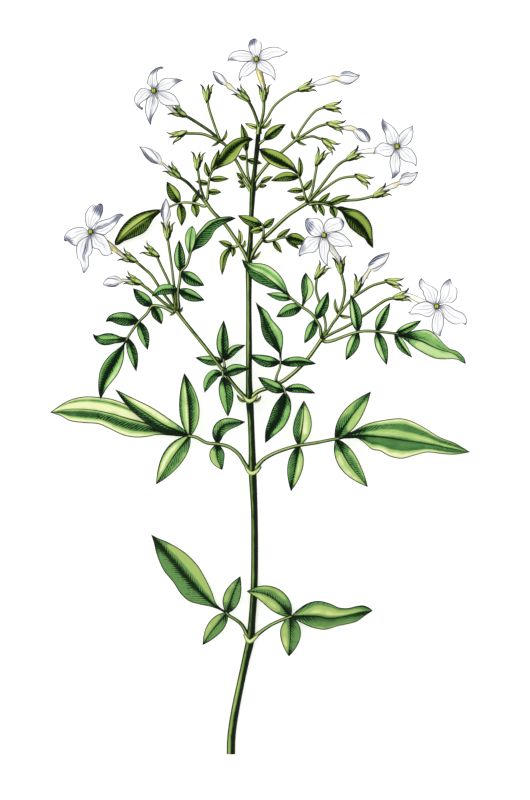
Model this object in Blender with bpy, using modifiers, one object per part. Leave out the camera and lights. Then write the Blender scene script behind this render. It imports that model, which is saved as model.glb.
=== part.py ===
"""A cut sprig of common jasmine in flower, lying on its back.

Metres, +X right, +Y from the cut end to the top flower, +Z up, and the origin on the
surface under the middle of the sprig. A plan point is (column, row, height): the column
and the row are pixels of the plate that the sprig is drawn on, and the height is in mm.
A width is in plate pixels too. Paths run from where a piece grows to its tip.
"""
import math
from functools import partial

import bmesh
import bpy
import numpy as np
from mathutils import Vector

# Driving dimensions, in metres
SPRIG_LENGTH = 0.300
BLADE_THICKNESS = 0.0006
SEAT_GAP = 0.0003
MM = 0.001

# The plate, in pixels: the sprig's highest and lowest rows and its middle column
PLATE_TOP = 39.0
PLATE_FOOT = 755.0
PLATE_MIDDLE = 260.2
PIXEL = SPRIG_LENGTH / (PLATE_FOOT - PLATE_TOP)
PIXEL_MM = PIXEL / MM
MIDDLE_ROW = (PLATE_TOP + PLATE_FOOT) / 2

# Leaflets and bracts: the fold and the wave are shares of a half width, FOLDED_WIDTH is the
# width in mm from which a blade is folded, and a wider blade takes more rows of faces
BLADE_FOLD = 0.16
BLADE_WAVE = 0.06
FOLDED_WIDTH = 5.1
WAVED_PIXELS = 19
BLADE_ROWS = {12: 3, 19: 4}
WIDE_BLADE_ROWS = 7
BRACT_ROWS = 3
PETAL_ROWS = 4
BLADE_TIP_HALF = 0.00022
USUAL_PEAK = 0.42
USUAL_SHARPNESS = 0.85

# Stalks, calyxes and flowers, in mm
LEAF_STALK_RADIUS = 0.42
SMALL_STALK_RADIUS = 0.32
STALK_TAPER = (1.15, 0.9)
PEDICEL_RADIUS = 0.45
CUP_LENGTH = 3.2
CUP_RADIUS = 1.45
TOOTH_LENGTH = 3.1
TOOTH_RADIUS = 0.45
TOOTH_TIP = 0.1
TOOTH_FLARE = 0.3
TOOTH_ROOT_DEPTH = 0.9
TEETH = 5
CUP_PROFILE = [(-0.5, 0.4), (0.25, 0.85), (1.0, 1.02)]
TUBE_FOOT_RADIUS = 0.6
TUBE_STRAIGHT = 2.2
THROAT_RADIUS = 1.5
PETAL_ROOT_REACH = 1.05
PETAL_ROOT_DEPTH = 0.25
PETAL_FULLNESS = 1.12
ANTHER_RADIUS = 0.42
ANTHER_LENGTH = 0.85
BUD_STRAIGHT = 1.2
BUD_TUBE_SWELL = 0.45
BUD_SWELL_START = 0.35
BUD_TIP_RADIUS = 0.15

# How finely paths are followed, and the share of its own radius that a root stays clear by
MAIN_STATIONS = 34
SHOOT_STATIONS = 7
SHORT_SHOOT_STATIONS = 3
TUBE_STATIONS = 7
BUD_STATIONS = 9
ROOT_SHARE = 0.75
SMOOTH_ANGLE = math.radians(40)
FLAT_ANGLE = 0.01

LEAF_GREEN = (0.20, 0.36, 0.08)
STEM_GREEN = (0.30, 0.42, 0.14)
PETAL_WHITE = (0.88, 0.90, 0.92)
ANTHER_GREEN = (0.45, 0.50, 0.12)

# The main stem: plan points with the width
MAIN_STEM = [
    (230.8, 755, 1.55, 8.5), (231, 742, 1.55, 8.4), (232.6, 726, 1.55, 8.2), (236.2, 705, 1.6, 8.0),
    (240.3, 685, 1.75, 7.6), (245.5, 661, 2.05, 7.6), (250, 641, 2.35, 8.4), (252, 620, 2.65, 7.1),
    (254, 590, 3.1, 7.0), (254.6, 550, 3.8, 7.0), (254.2, 510, 4.6, 6.8), (252.5, 472, 5.3, 7.9),
    (252, 450, 5.7, 6.8), (250.9, 420, 6.3, 6.5), (249.6, 400, 6.7, 7.6), (249, 380, 7.1, 6.2),
    (249, 340, 8.0, 6.0), (248.8, 300, 8.9, 5.5), (249, 262, 9.7, 6.6), (250.5, 240, 10.2, 4.9),
    (251.4, 215, 10.7, 4.7), (253, 188, 11.3, 5.8), (255, 168, 11.7, 4.3), (257.4, 146, 12.2, 5.0),
    (258.5, 131, 12.5, 4.2),
]

# Scale bracts on the main stem's nodes, each a path and a width
STEM_BRACTS = [
    ([(251, 401, 6.2), (258, 400, 5.6), (261.5, 395.5, 5.4)], 4.0),
    ([(248, 401, 6.2), (241, 400, 5.4), (236.5, 394.5, 5.2)], 4.0),
    ([(250.5, 260, 9.6), (256, 257, 9.2), (261, 251, 8.8)], 3.5),
]

# Shoots: an axis, its width, branches that start on it, bracts, and calyxes as (base, aim).
# The first branch points lie on the axis, so that all of a shoot grows as one body.
SHOOTS = {
    "left_shoot": {
        "axis": [
            (249.5, 401, 6.8), (243, 395, 7.1), (234, 385, 7.4), (222.8, 370, 7.9),
            (205.5, 347.4, 8.8), (185, 322, 9.8), (175.7, 309.5, 10.3),
        ],
        "width": 3.7,
        "stalks": [
            [(176, 310, 10.3), (163.2, 293.3, 10.9), (152, 276, 11.4), (144, 268.5, 11.5),
             (134.6, 260.6, 11.5)],
            [(176, 310, 10.3), (165, 303.5, 10.2), (150, 290.7, 10.0), (139.7, 283, 9.8)],
            [(176, 310, 10.3), (172.3, 293.3, 11.3), (168.3, 281, 12.0), (161, 265.7, 12.6),
             (156.5, 255.3, 13.0)],
            [(176, 310, 10.3), (175, 292, 10.9), (173.4, 280, 11.3), (171.8, 266.7, 11.7),
             (167.8, 238.2, 12.4)],
        ],
        "bracts": [
            ([(177, 312, 10.3), (180.5, 311, 10.4), (183, 306.5, 10.3)], 3.0),
            ([(175.7, 311, 10.5), (172.5, 314, 10.6), (169.3, 315.5, 10.6)], 3.0),
        ],
        "calyxes": [
            ((134.6, 260.8, 11.5), (120.5, 254.5, 12.1)), ((139.6, 283, 9.8), (129, 279.5, 10.0)),
            ((156.5, 255.2, 13.0), (138.5, 245.5, 13.6)), ((167.6, 237.5, 12.4), (167.5, 226, 13.2)),
        ],
    },
    "right_shoot": {
        "axis": [
            (249, 400.5, 6.8), (257.6, 391.8, 7.1), (269, 387.5, 7.5), (283, 381, 8.0),
            (297, 370, 8.5), (309, 357, 9.0), (322.5, 338, 9.8),
        ],
        "width": 4.0,
        "stalks": [
            [(321.5, 339.5, 9.8), (328, 331, 10.2), (333, 323, 10.5), (338, 316, 10.8),
             (343.5, 300, 11.2), (344.5, 288, 11.3), (341, 272, 11.2)],
            [(338, 316, 10.8), (345, 307, 11.0), (352.5, 297.5, 11.2), (356.5, 290.5, 11.3)],
            [(352.5, 297.5, 11.2), (360, 293, 11.1), (372, 285.8, 11.0), (388, 281.2, 10.8)],
            [(321.5, 339.5, 9.8), (325.6, 328, 9.6), (323.5, 313.5, 9.5), (316.3, 291.8, 9.4),
             (317, 277, 9.3)],
            [(321.5, 339.5, 9.8), (330, 334.5, 9.8), (350, 324.5, 10.0), (365.5, 314, 10.2),
             (384, 301, 10.6), (394.5, 297.8, 10.7)],
        ],
        "bracts": [
            ([(338.5, 315, 10.9), (335.5, 306, 11.4), (335, 298, 11.6)], 4.0),
            ([(339, 315.5, 10.8), (345.5, 317, 10.6), (351.5, 317, 10.4)], 4.0),
        ],
        "calyxes": [
            ((341, 272, 11.2), (339, 259.5, 11.9)), ((356.5, 290.2, 11.3), (360, 277.5, 11.9)),
            ((388, 281, 10.8), (403, 284, 10.9)), ((316.7, 276.7, 9.3), (324, 265, 9.3)),
            ((395, 297.6, 10.7), (409.5, 294.5, 11.3)),
        ],
    },
    "high_left_shoot": {
        "axis": [
            (248.5, 261, 9.9), (243, 250.5, 10.2), (234.5, 237.7, 10.4), (224.6, 223.8, 10.6),
            (213, 212, 10.9), (204.5, 200.3, 11.2),
        ],
        "width": 3.6,
        "stalks": [
            [(205.3, 201.4, 11.2), (198.8, 194.8, 11.4), (188, 183.2, 11.8), (179, 177, 12.0)],
            [(205.3, 201.4, 11.2), (201.4, 190.4, 12.2), (199.6, 181.4, 13.2), (197.7, 168, 14.0)],
        ],
        "bracts": [
            ([(239.5, 245.5, 10.3), (240.5, 236, 11.4), (238.5, 229, 11.8)], 5.0),
            ([(241, 248, 10.2), (244.2, 245, 10.8), (245, 240, 11.0)], 4.0),
        ],
        "calyxes": [
            ((178.7, 176.7, 12.0), (166.5, 166.5, 12.6)), ((197.3, 167.5, 14.0), (198, 152.5, 14.5)),
        ],
    },
    "high_right_shoot": {
        "axis": [
            (249.3, 261, 9.9), (255, 249.5, 10.1), (262.3, 239.7, 10.3), (269.5, 232.8, 10.5),
            (287.3, 216.3, 10.9), (298, 209, 11.1), (308, 202.5, 11.3),
        ],
        "width": 3.8,
        "stalks": [
            [(307, 203.2, 11.3), (312.3, 190.4, 11.7), (314.6, 178, 12.2), (317.2, 163.6, 12.7)],
            [(307, 203.2, 11.3), (318.6, 189.5, 11.8), (333, 170.7, 12.3), (340, 163.6, 12.4),
             (348.3, 159, 12.5)],
            [(307, 203.2, 11.3), (323, 190, 11.1), (340, 178.8, 11.0), (357.5, 176.1, 11.0)],
            [(307, 203.2, 11.3), (313, 202, 10.9), (325, 202.5, 10.3), (345.4, 200.6, 10.3),
             (360.5, 199.3, 10.5), (375, 195.7, 11.0)],
        ],
        "bracts": [],
        "calyxes": [
            ((317.1, 163.5, 12.7), (322.5, 151.5, 13.1)), ((348.3, 159, 12.5), (359, 152.5, 13.2)),
            ((357.8, 176, 11.0), (372, 183, 11.0)), ((375, 195.8, 11.0), (386, 190, 11.6)),
        ],
    },
    "crown_left_cyme": {
        "axis": [
            (252.5, 189, 11.3), (248.8, 183, 11.6), (243.4, 174.3, 11.9), (236.3, 161, 12.2),
            (226.4, 146.3, 12.5), (219.5, 141, 12.7),
        ],
        "width": 3.0,
        "stalks": [
            [(220.5, 141.7, 12.7), (210.6, 132, 12.9), (192.2, 119.8, 13.1), (185, 115.7, 13.2)],
            [(220.5, 141.7, 12.7), (210.6, 137, 12.4), (201.4, 134, 12.1), (184, 133.4, 12.0)],
            [(220.5, 141.7, 12.7), (215.7, 129, 13.1), (209.5, 110.5, 13.4), (207.3, 100, 13.5)],
        ],
        "bracts": [
            ([(221, 142, 12.8), (225.5, 136.5, 13.2), (226.6, 129.5, 13.4)], 3.5),
            ([(220, 141.7, 12.7), (215.5, 144.5, 12.8), (211.5, 146.8, 12.8)], 3.0),
        ],
        "calyxes": [
            ((184.5, 115.6, 13.2), (176, 111.5, 13.8)), ((184, 133, 12.0), (168, 140.5, 12.0)),
            ((207, 99.7, 13.5), (206.5, 82, 14.0)),
        ],
    },
    "crown_right_cyme": {
        "axis": [
            (253.5, 187, 11.4), (256.5, 178.8, 11.7), (268.6, 163.6, 12.0), (282, 152, 12.3),
            (296, 140, 12.6),
        ],
        "width": 3.0,
        "stalks": [
            [(295, 140.8, 12.6), (302.7, 127, 12.9), (315, 111.6, 13.2), (326.4, 107.3, 13.3)],
            [(295, 140.8, 12.6), (308.8, 132, 12.6), (318, 126.8, 12.6), (329.4, 123.8, 12.6)],
            [(295, 140.8, 12.6), (310.8, 136.6, 12.3), (318, 138.2, 12.1), (324.1, 140.3, 12.0)],
        ],
        "bracts": [
            ([(295.5, 140.5, 12.6), (292.5, 136, 13.0), (291.5, 130.5, 13.2)], 3.5),
            ([(296, 140.3, 12.6), (301.5, 143.8, 12.5), (307, 145.4, 12.4)], 3.5),
        ],
        "calyxes": [
            ((326.4, 107.3, 13.3), (338.5, 107, 13.5)), ((329.4, 123.7, 12.6), (342.5, 126.5, 12.8)),
            ((324.1, 140.3, 12.0), (336, 148.5, 12.0)),
        ],
    },
    "top_cyme": {
        "axis": [(259, 129.6, 12.7), (259.4, 127.5, 12.75)],
        "width": 4.2,
        "stalks": [
            [(259.2, 128.8, 12.7), (256.4, 118.8, 13.0), (252.4, 108.6, 13.3), (247.7, 100, 13.5)],
            [(259.2, 128.8, 12.7), (262.7, 116.7, 13.0), (263.9, 107, 13.2), (263.8, 100.2, 13.3)],
            [(259.2, 128.8, 12.7), (266, 120, 12.7), (275, 105.5, 12.8), (289.4, 94.3, 13.0),
             (300, 89.9, 13.0)],
        ],
        "bracts": [
            ([(258.8, 128.5, 12.8), (251.5, 126.2, 13.2), (244.8, 123.6, 13.0)], 5.5),
            ([(260, 128.5, 12.8), (267, 126, 13.4), (271.8, 118.4, 13.7)], 4.0),
        ],
        "calyxes": [
            ((247.5, 99.8, 13.5), (236.5, 90.5, 14.0)), ((263.7, 100, 13.3), (263.4, 84.5, 14.0)),
            ((300, 89.8, 13.0), (313.5, 84.8, 13.4)),
        ],
    },
}

# Leaves: what each grows from, its stalk, the stalk's radius in mm, and its leaflets as
# (midrib path, width), with the place of the greatest width along it and the sharpness of
# its ends where they aren't the usual ones.
LEAVES = {
    "low_left_leaf": ("main_stem", LEAF_STALK_RADIUS, [
        (249, 640, 2.4), (243, 627, 3.2), (237, 621, 3.8), (229, 616, 4.2), (226, 612.5, 4.4),
    ], [
        ([(227, 613.3, 4.4), (213, 604.5, 5.1), (193.5, 585.5, 5.5), (171.5, 560, 3.8), (150.6, 534.5, 0.5)],
         29, 0.5, 1.1),
        ([(227.4, 613, 4.35), (213, 630, 3.9), (202.5, 645.5, 2.4)], 16),
        ([(226.8, 613.7, 4.45), (233, 594, 5.3), (240.3, 576.5, 5.0)], 17),
    ]),
    "low_right_leaf": ("main_stem", LEAF_STALK_RADIUS, [
        (251.5, 640, 2.4), (261, 632, 3.2), (270.5, 625.5, 3.9), (280, 621, 4.5), (291.5, 616.5, 5.0),
    ], [
        ([(290.7, 616.8, 5.0), (305, 616.5, 5.6), (318, 616.7, 5.6), (329, 618.7, 5.0),
          (341, 617.4, 4.0), (359, 613.5, 1.9), (373, 611.4, 0.5)], 29, 0.4, 1.25),
        ([(291, 616.8, 5.0), (280, 604, 6.0), (270.5, 596.5, 6.6), (260, 592.7, 6.7),
          (246.8, 591.5, 6.1)], 22),
        ([(290.5, 616.2, 4.95), (290.4, 637, 4.0), (289, 657, 2.0)], 21),
    ]),
    "second_left_leaf": ("main_stem", LEAF_STALK_RADIUS, [
        (251, 473, 5.3), (244, 462.5, 5.9), (238.5, 454, 6.3), (229, 447, 6.6), (217.5, 444, 6.8),
        (206.5, 442.8, 6.9), (196.5, 437.5, 6.9), (188, 435.8, 6.9),
    ], [
        ([(217.5, 444, 6.8), (218.5, 432, 7.0), (226, 424.5, 7.0), (245.3, 421.9, 6.2)], 14),
        ([(217, 444, 6.8), (217.3, 458, 6.4), (222.2, 470, 5.4)], 15.5),
        ([(190, 436, 6.9), (189, 405, 7.4), (184.2, 373, 6.0)], 20.5),
        ([(189.8, 436, 6.9), (173, 457, 6.0), (156, 484.5, 3.4)], 21),
        ([(191, 436, 6.9), (168.5, 430.5, 6.7), (146, 423.5, 6.0), (129, 419, 5.2), (112, 414, 4.3),
          (94, 410.3, 3.3), (76, 409, 2.2), (60.5, 410, 1.1), (49.3, 412.5, 0.5)], 31, 0.64, 0.8),
        ([(189, 435.6, 7.1), (166, 426, 8.0), (146, 413, 8.0), (130, 402, 7.0), (115.2, 389.5, 5.6)], 17),
    ]),
    "second_right_leaf": ("main_stem", LEAF_STALK_RADIUS, [
        (254, 470.5, 5.3), (263, 460, 6.0), (274, 453.5, 6.5), (286, 449, 6.8), (299, 445.5, 7.0),
        (316.5, 442.7, 7.0), (332, 439.6, 7.0), (339, 438.6, 7.0),
    ], [
        ([(299, 445.5, 7.0), (303, 422, 7.3), (304, 400.6, 6.3)], 18.5),
        ([(299, 445.5, 7.0), (295, 468, 6.2), (291, 491.4, 4.2)], 16),
        ([(335.5, 439.2, 7.0), (353, 414, 7.2), (371, 391.5, 5.6)], 19),
        ([(336, 439.2, 7.0), (349.5, 464.5, 6.0), (367.8, 487, 3.6)], 20),
        ([(337, 439, 7.0), (350, 436.5, 7.0), (366, 436, 6.9), (385, 437.5, 6.3), (405, 440.5, 5.2),
          (431, 444.5, 3.2), (454, 449.3, 1.3), (471, 452.3, 0.5)], 41, 0.45, 1.35),
    ]),
    "left_shoot_back_leaf": ("left_shoot", SMALL_STALK_RADIUS, [
        (224.5, 368, 6.8), (224.4, 364, 6.2), (223.5, 359, 5.8),
    ], [
        ([(223.6, 360.5, 5.8), (222.5, 340, 6.3), (223.7, 320.2, 5.2)], 12.5),
        ([(223.9, 360.5, 5.8), (234, 349.5, 5.8), (245.5, 345, 5.0)], 9),
        ([(223.9, 361, 5.8), (210, 360.5, 5.3), (195.2, 357.5, 4.4)], 10),
    ]),
    "left_shoot_front_leaf": ("left_shoot", SMALL_STALK_RADIUS, [
        (222.6, 371, 9.6), (222.8, 374, 10.0), (223.1, 377.5, 10.0),
    ], [
        ([(222.9, 374.5, 10.0), (236, 369.3, 10.6), (249.3, 368.5, 10.0)], 11.5),
        ([(222.9, 374.5, 10.0), (215.5, 374, 10.3), (208.5, 381, 9.6), (204.5, 392.7, 8.2)], 11),
        ([(223, 376, 10.0), (226.5, 396, 10.1), (228, 416.6, 8.9)], 14.5),
    ]),
    "left_shoot_outer_leaf": ("left_shoot", LEAF_STALK_RADIUS, [
        (172.8, 311.6, 9.3), (165, 307.8, 8.9), (160, 306.2, 8.7), (152, 306, 8.4), (147, 313.5, 8.0),
        (138.5, 322, 7.7), (130.5, 333, 7.2), (126, 340.5, 7.0),
    ], [
        ([(152.5, 306, 8.4), (141.5, 297.5, 7.6), (133, 288.3, 6.6)], 12),
        ([(152.5, 305.8, 8.4), (158, 315.5, 8.2), (161.6, 324.3, 7.4)], 11),
        ([(139, 321.5, 7.7), (125, 319.2, 7.6), (106, 321.3, 6.4)], 14),
        ([(139, 321.5, 7.7), (144, 336, 7.3), (147.6, 349.8, 6.2)], 11),
        ([(128, 337.5, 7.1), (110, 339.3, 6.6), (92.8, 334.3, 5.6)], 13),
        ([(127.7, 338, 7.1), (133, 355, 6.5), (136.1, 371.5, 5.3)], 10),
        ([(126.8, 339.3, 7.0), (110.5, 364, 7.2), (102.8, 384, 7.0), (100.5, 399.5, 6.5)], 20),
    ]),
    "left_shoot_inner_leaf": ("left_shoot", LEAF_STALK_RADIUS, [
        (178.8, 307.5, 11.6), (178, 298.5, 12.7), (178.5, 288.5, 13.4), (180, 280, 13.8),
        (181, 272, 14.0), (186.6, 265.7, 14.2), (189.7, 256.5, 14.3), (190.8, 251.5, 14.3),
    ], [
        ([(178.4, 290, 13.4), (163, 289.8, 13.6), (151.9, 296.3, 13.2)], 11),
        ([(178.4, 290, 13.4), (192, 296, 12.8), (204.5, 300.4, 11.6)], 12),
        ([(181, 272.5, 14.0), (179.6, 256, 14.5), (179.3, 240.2, 14.2)], 11.5),
        ([(181, 272.5, 14.0), (192, 279.5, 13.5), (204.3, 285.7, 12.4)], 13),
        ([(189.7, 256, 14.3), (193.2, 240, 14.7), (194.3, 225.8, 14.3)], 9),
        ([(190.4, 253.5, 14.3), (198, 238, 14.8), (206, 229, 14.9), (215.7, 221.6, 14.7),
          (226.5, 219, 14.4), (236.3, 218.5, 13.9)], 16),
    ]),
    "right_shoot_upper_leaf": ("right_shoot", SMALL_STALK_RADIUS, [
        (276, 380.3, 9.0), (277, 375, 9.5), (280, 367, 10.0), (280.8, 358, 10.2),
    ], [
        ([(280.7, 360, 10.2), (277, 343, 10.6), (270, 328, 10.7), (262, 312, 10.3), (255.2, 301.3, 9.6)], 20),
        ([(280.4, 362.5, 10.2), (265, 361, 10.7), (248.6, 355, 10.2)], 12),
        ([(280.2, 363, 10.2), (300, 361.5, 10.7), (316.2, 363.8, 10.2)], 10.5),
    ]),
    "right_shoot_lower_leaf": ("right_shoot", SMALL_STALK_RADIUS, [
        (280, 385, 9.1), (284, 388, 9.4), (285.6, 394, 9.5),
    ], [
        ([(285.2, 392, 9.5), (284, 403, 9.6), (278, 420, 9.2), (270.5, 432, 8.6), (265.2, 443, 7.6)], 19),
        ([(284.6, 389.5, 9.4), (300, 388.4, 9.5), (315.5, 393.4, 8.7)], 9.5),
        ([(285, 391.5, 9.5), (271, 385.5, 10.0), (258, 377, 9.6)], 12),
    ]),
    "right_shoot_inner_leaf": ("right_shoot", LEAF_STALK_RADIUS, [
        (321.2, 335.3, 11.0), (320, 327, 11.6), (315.8, 319.5, 12.0), (310.6, 312.8, 12.2),
        (302, 307, 12.4), (296, 302.3, 12.5), (289.5, 297, 12.6),
    ], [
        ([(315.8, 319.5, 12.0), (323, 306, 12.5), (328.3, 291.8, 12.1)], 11.5),
        ([(315.8, 319.5, 12.0), (310.5, 332, 11.8), (304.4, 343.4, 11.0)], 11),
        ([(302, 307, 12.4), (304.7, 289, 12.9), (305.8, 272.1, 12.5)], 13),
        ([(302, 307, 12.4), (289, 310.5, 12.4), (276.3, 317, 11.7)], 13),
        ([(292, 299, 12.5), (279, 296.5, 12.7), (266.4, 293.7, 12.3)], 8.5),
        ([(291, 298.2, 12.5), (278, 285, 13.0), (262, 273.6, 13.2), (251.3, 268, 12.9),
          (241.5, 259, 12.3)], 24),
    ]),
    "right_shoot_outer_leaf": ("right_shoot", LEAF_STALK_RADIUS, [
        (325, 341.5, 9.3), (330, 341.2, 9.7), (336, 339.5, 10.0), (345, 336, 10.5), (352, 333.6, 10.8),
        (358, 332, 11.0), (366, 331, 11.0), (377, 331.5, 10.9), (387, 332.5, 10.6), (398, 334, 10.2),
    ], [
        ([(358, 332, 11.0), (355.5, 313, 12.6), (350.5, 294.3, 12.9)], 12),
        ([(358, 332, 11.0), (352, 347, 10.4), (345.9, 360.3, 9.2)], 12),
        ([(376.5, 331.5, 10.9), (383, 316, 11.9), (390, 303, 12.5)], 10.5),
        ([(376.5, 331.5, 10.9), (382, 348.5, 10.2), (386.9, 365, 8.8)], 12),
        ([(395.5, 333.7, 10.3), (409, 327.3, 10.6), (421.4, 320.5, 10.2)], 9),
        ([(395, 333.7, 10.3), (402, 346, 9.6), (412, 357.5, 8.4)], 9),
        ([(396.5, 333.8, 10.2), (413, 338.6, 9.8), (422.4, 341.4, 9.3), (432, 346.2, 8.2),
          (441.5, 350, 6.8), (454, 353.8, 4.4), (466.4, 364, 0.6)], 27),
    ]),
    "high_left_small_leaf": ("high_left_shoot", SMALL_STALK_RADIUS, [
        (235.5, 247, 10.1), (233.5, 246.6, 10.0), (231.5, 246.8, 10.0),
    ], [
        ([(232.8, 246.7, 10.0), (226, 243.8, 9.9), (218.5, 241, 9.3)], 6.5),
        ([(232.3, 246.8, 10.0), (224, 257, 9.5), (222, 275.5, 8.4)], 7.5),
        ([(232.8, 246.6, 10.0), (233.4, 252, 9.8), (232.3, 257, 9.5)], 5),
    ]),
    "high_left_outer_leaf": ("high_left_shoot", SMALL_STALK_RADIUS, [
        (204, 206.3, 10.3), (198, 204.2, 10.2), (193, 203, 10.0), (185.4, 202.4, 9.6), (180, 203, 9.3),
        (174.6, 204.6, 8.9), (168, 207.5, 8.3), (160, 211, 7.7),
    ], [
        ([(193, 203, 10.0), (197, 195.5, 9.7), (199.2, 189, 9.2)], 6.5),
        ([(193, 203, 10.0), (195.6, 210, 9.8), (196.5, 217.6, 9.2)], 8.5),
        ([(179.5, 203.2, 9.2), (172.5, 192, 9.3), (166.8, 181.5, 8.7)], 12),
        ([(180, 203, 9.3), (181.6, 215, 9.2), (181.6, 226, 8.6)], 9.5),
        ([(162, 210, 7.8), (147, 216.7, 6.8), (136.6, 225, 5.0), (126.4, 234, 2.8), (114.8, 245, 0.5)], 16),
    ]),
    "high_left_inner_leaf": ("high_left_shoot", SMALL_STALK_RADIUS, [
        (207.6, 198.2, 12.2), (207.9, 190.4, 12.4), (209, 181.4, 12.6), (210.8, 174.3, 12.8),
        (214, 168.5, 12.9),
    ], [
        ([(207.8, 192.5, 12.4), (214.5, 192, 12.5), (221.3, 192.3, 12.2)], 6.5),
        ([(208.7, 184.3, 12.5), (202, 182.5, 12.0), (195.5, 181.5, 11.3)], 6),
        ([(209.2, 180, 12.6), (219, 179, 12.8), (229, 179, 12.4)], 6.5),
        ([(209.8, 177.5, 12.7), (206.4, 169, 12.9), (205.3, 161.8, 12.5)], 6),
        ([(211.6, 172.5, 12.8), (216.2, 160, 13.3), (219.2, 149.5, 13.3)], 7.5),
        ([(213.3, 170, 12.8), (221, 160.5, 13.9), (228, 151.5, 14.7), (236.3, 144.5, 14.9),
          (245, 140.7, 14.8), (253.7, 139.8, 14.4)], 15.5),
    ]),
    "high_right_front_leaf": ("high_right_shoot", SMALL_STALK_RADIUS, [
        (263, 237.3, 11.7), (263.6, 230.5, 12.1), (262, 223.5, 12.3),
    ], [
        ([(262.4, 225.2, 12.2), (250, 221, 12.6), (237.8, 215.5, 12.3)], 10.5),
        ([(263.4, 229.5, 12.1), (255.5, 230.5, 12.4), (248.7, 232.8, 12.2)], 7),
        ([(263.2, 228, 12.2), (269, 223.5, 12.5), (274.7, 218, 12.3)], 7.5),
    ]),
    "high_right_small_leaf": ("high_right_shoot", SMALL_STALK_RADIUS, [
        (266, 241.8, 9.5), (273, 240.6, 9.3), (279.3, 238.3, 9.2), (288, 237, 9.0),
    ], [
        ([(276.5, 239.3, 9.2), (284, 233.2, 9.2), (290.6, 228.3, 8.9)], 6),
        ([(273, 240.6, 9.3), (277.5, 247, 9.0), (281.8, 253, 8.5)], 6),
        ([(286, 237.3, 9.0), (296, 239, 8.8), (308, 243, 8.2)], 12),
        ([(285.5, 237.3, 9.0), (292, 242.5, 8.6), (299, 249, 8.0)], 6),
    ]),
    "high_right_inner_leaf": ("high_right_shoot", SMALL_STALK_RADIUS, [
        (306.2, 200.2, 12.3), (303.4, 190.4, 12.9), (300.7, 181.4, 13.3), (297.4, 173.5, 13.6),
    ], [
        ([(305.8, 198.5, 12.4), (300, 198.6, 12.6), (294, 198, 12.3)], 6),
        ([(303.6, 191, 12.8), (295, 190.7, 12.9), (286.8, 191.5, 12.5)], 6),
        ([(303.6, 190.8, 12.9), (308.6, 185, 13.5), (312.3, 179.5, 13.7)], 6.5),
        ([(299, 177.5, 13.4), (285, 177, 13.9), (271, 181, 13.5)], 10),
        ([(299.5, 178.5, 13.4), (300.5, 167, 13.9), (299, 156.5, 13.7)], 5.5),
        ([(298, 175, 13.5), (290, 167, 14.0), (282, 162.2, 14.3), (273, 157.3, 14.4), (264, 152.5, 14.3),
          (258.9, 149.3, 14.0)], 15),
    ]),
    "high_right_outer_leaf": ("high_right_shoot", SMALL_STALK_RADIUS, [
        (310.2, 204.6, 12.6), (316, 204, 12.4), (323, 204, 12.2), (329.3, 205.7, 11.9), (338, 208.3, 11.3),
    ], [
        ([(312, 204.4, 12.5), (315, 208.5, 12.4), (316.6, 213.5, 12.0)], 5),
        ([(318.5, 204, 12.3), (322, 210.5, 12.1), (324, 216.4, 11.6)], 6),
        ([(330.5, 206, 11.8), (333.8, 211.5, 11.2), (335.5, 218, 10.6)], 8),
        ([(318, 204, 12.3), (325, 197.8, 12.5), (330.2, 192.6, 12.3)], 6),
        ([(327, 205, 12.0), (339, 199.8, 12.3), (350.5, 195, 12.1)], 7.5),
        ([(336.5, 207.8, 11.4), (347, 215.4, 10.2), (356, 220.7, 8.4), (363.2, 228, 5.6), (368.6, 237, 2.6),
          (373.5, 248.2, 0.5)], 20),
    ]),
    "crown_left_leaf": ("main_stem", SMALL_STALK_RADIUS, [
        (250.5, 190.5, 10.6), (246, 185, 10.1), (242.4, 179, 9.9),
    ], [
        ([(242.9, 180, 9.9), (240, 176, 9.9), (236.3, 172.5, 9.7)], 5),
        ([(244.4, 182.4, 10.0), (241, 181.8, 10.0), (237.5, 181.2, 9.8)], 4.5),
        ([(246, 185, 10.1), (242.5, 186.2, 10.0), (239, 187.2, 9.8)], 4.5),
    ]),
    "crown_middle_leaf": ("main_stem", SMALL_STALK_RADIUS, [
        (250.5, 183.5, 10.1), (247.8, 174, 10.0), (247.1, 163, 10.2), (246.5, 150, 10.7),
    ], [
        ([(246.6, 152, 10.6), (244.7, 137, 11.3), (241.2, 123.5, 11.1)], 8),
        ([(247, 159, 10.3), (242.5, 157.5, 10.3), (238, 156, 10.1)], 6),
        ([(247, 160, 10.3), (255, 161.7, 9.7), (262, 163.5, 9.2)], 6.5),
    ]),
    "crown_right_leaf": ("main_stem", SMALL_STALK_RADIUS, [
        (255.5, 189.5, 10.4), (258.5, 186, 10.2), (261, 182.3, 10.2),
    ], [
        ([(260.5, 183, 10.2), (266, 179.6, 10.2), (273, 176.5, 9.9)], 5.5),
        ([(258.5, 186, 10.2), (262.5, 186, 10.1), (267, 185.3, 9.9)], 4.5),
    ]),
    "top_leaf": ("main_stem", SMALL_STALK_RADIUS, [
        (258, 144.5, 12.3), (262, 141.8, 12.6), (265, 139.3, 12.9),
    ], [
        ([(264, 140.2, 12.8), (270, 135, 13.4), (279, 128.3, 13.9), (285.7, 124.5, 13.8)], 11),
    ]),
}

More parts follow.
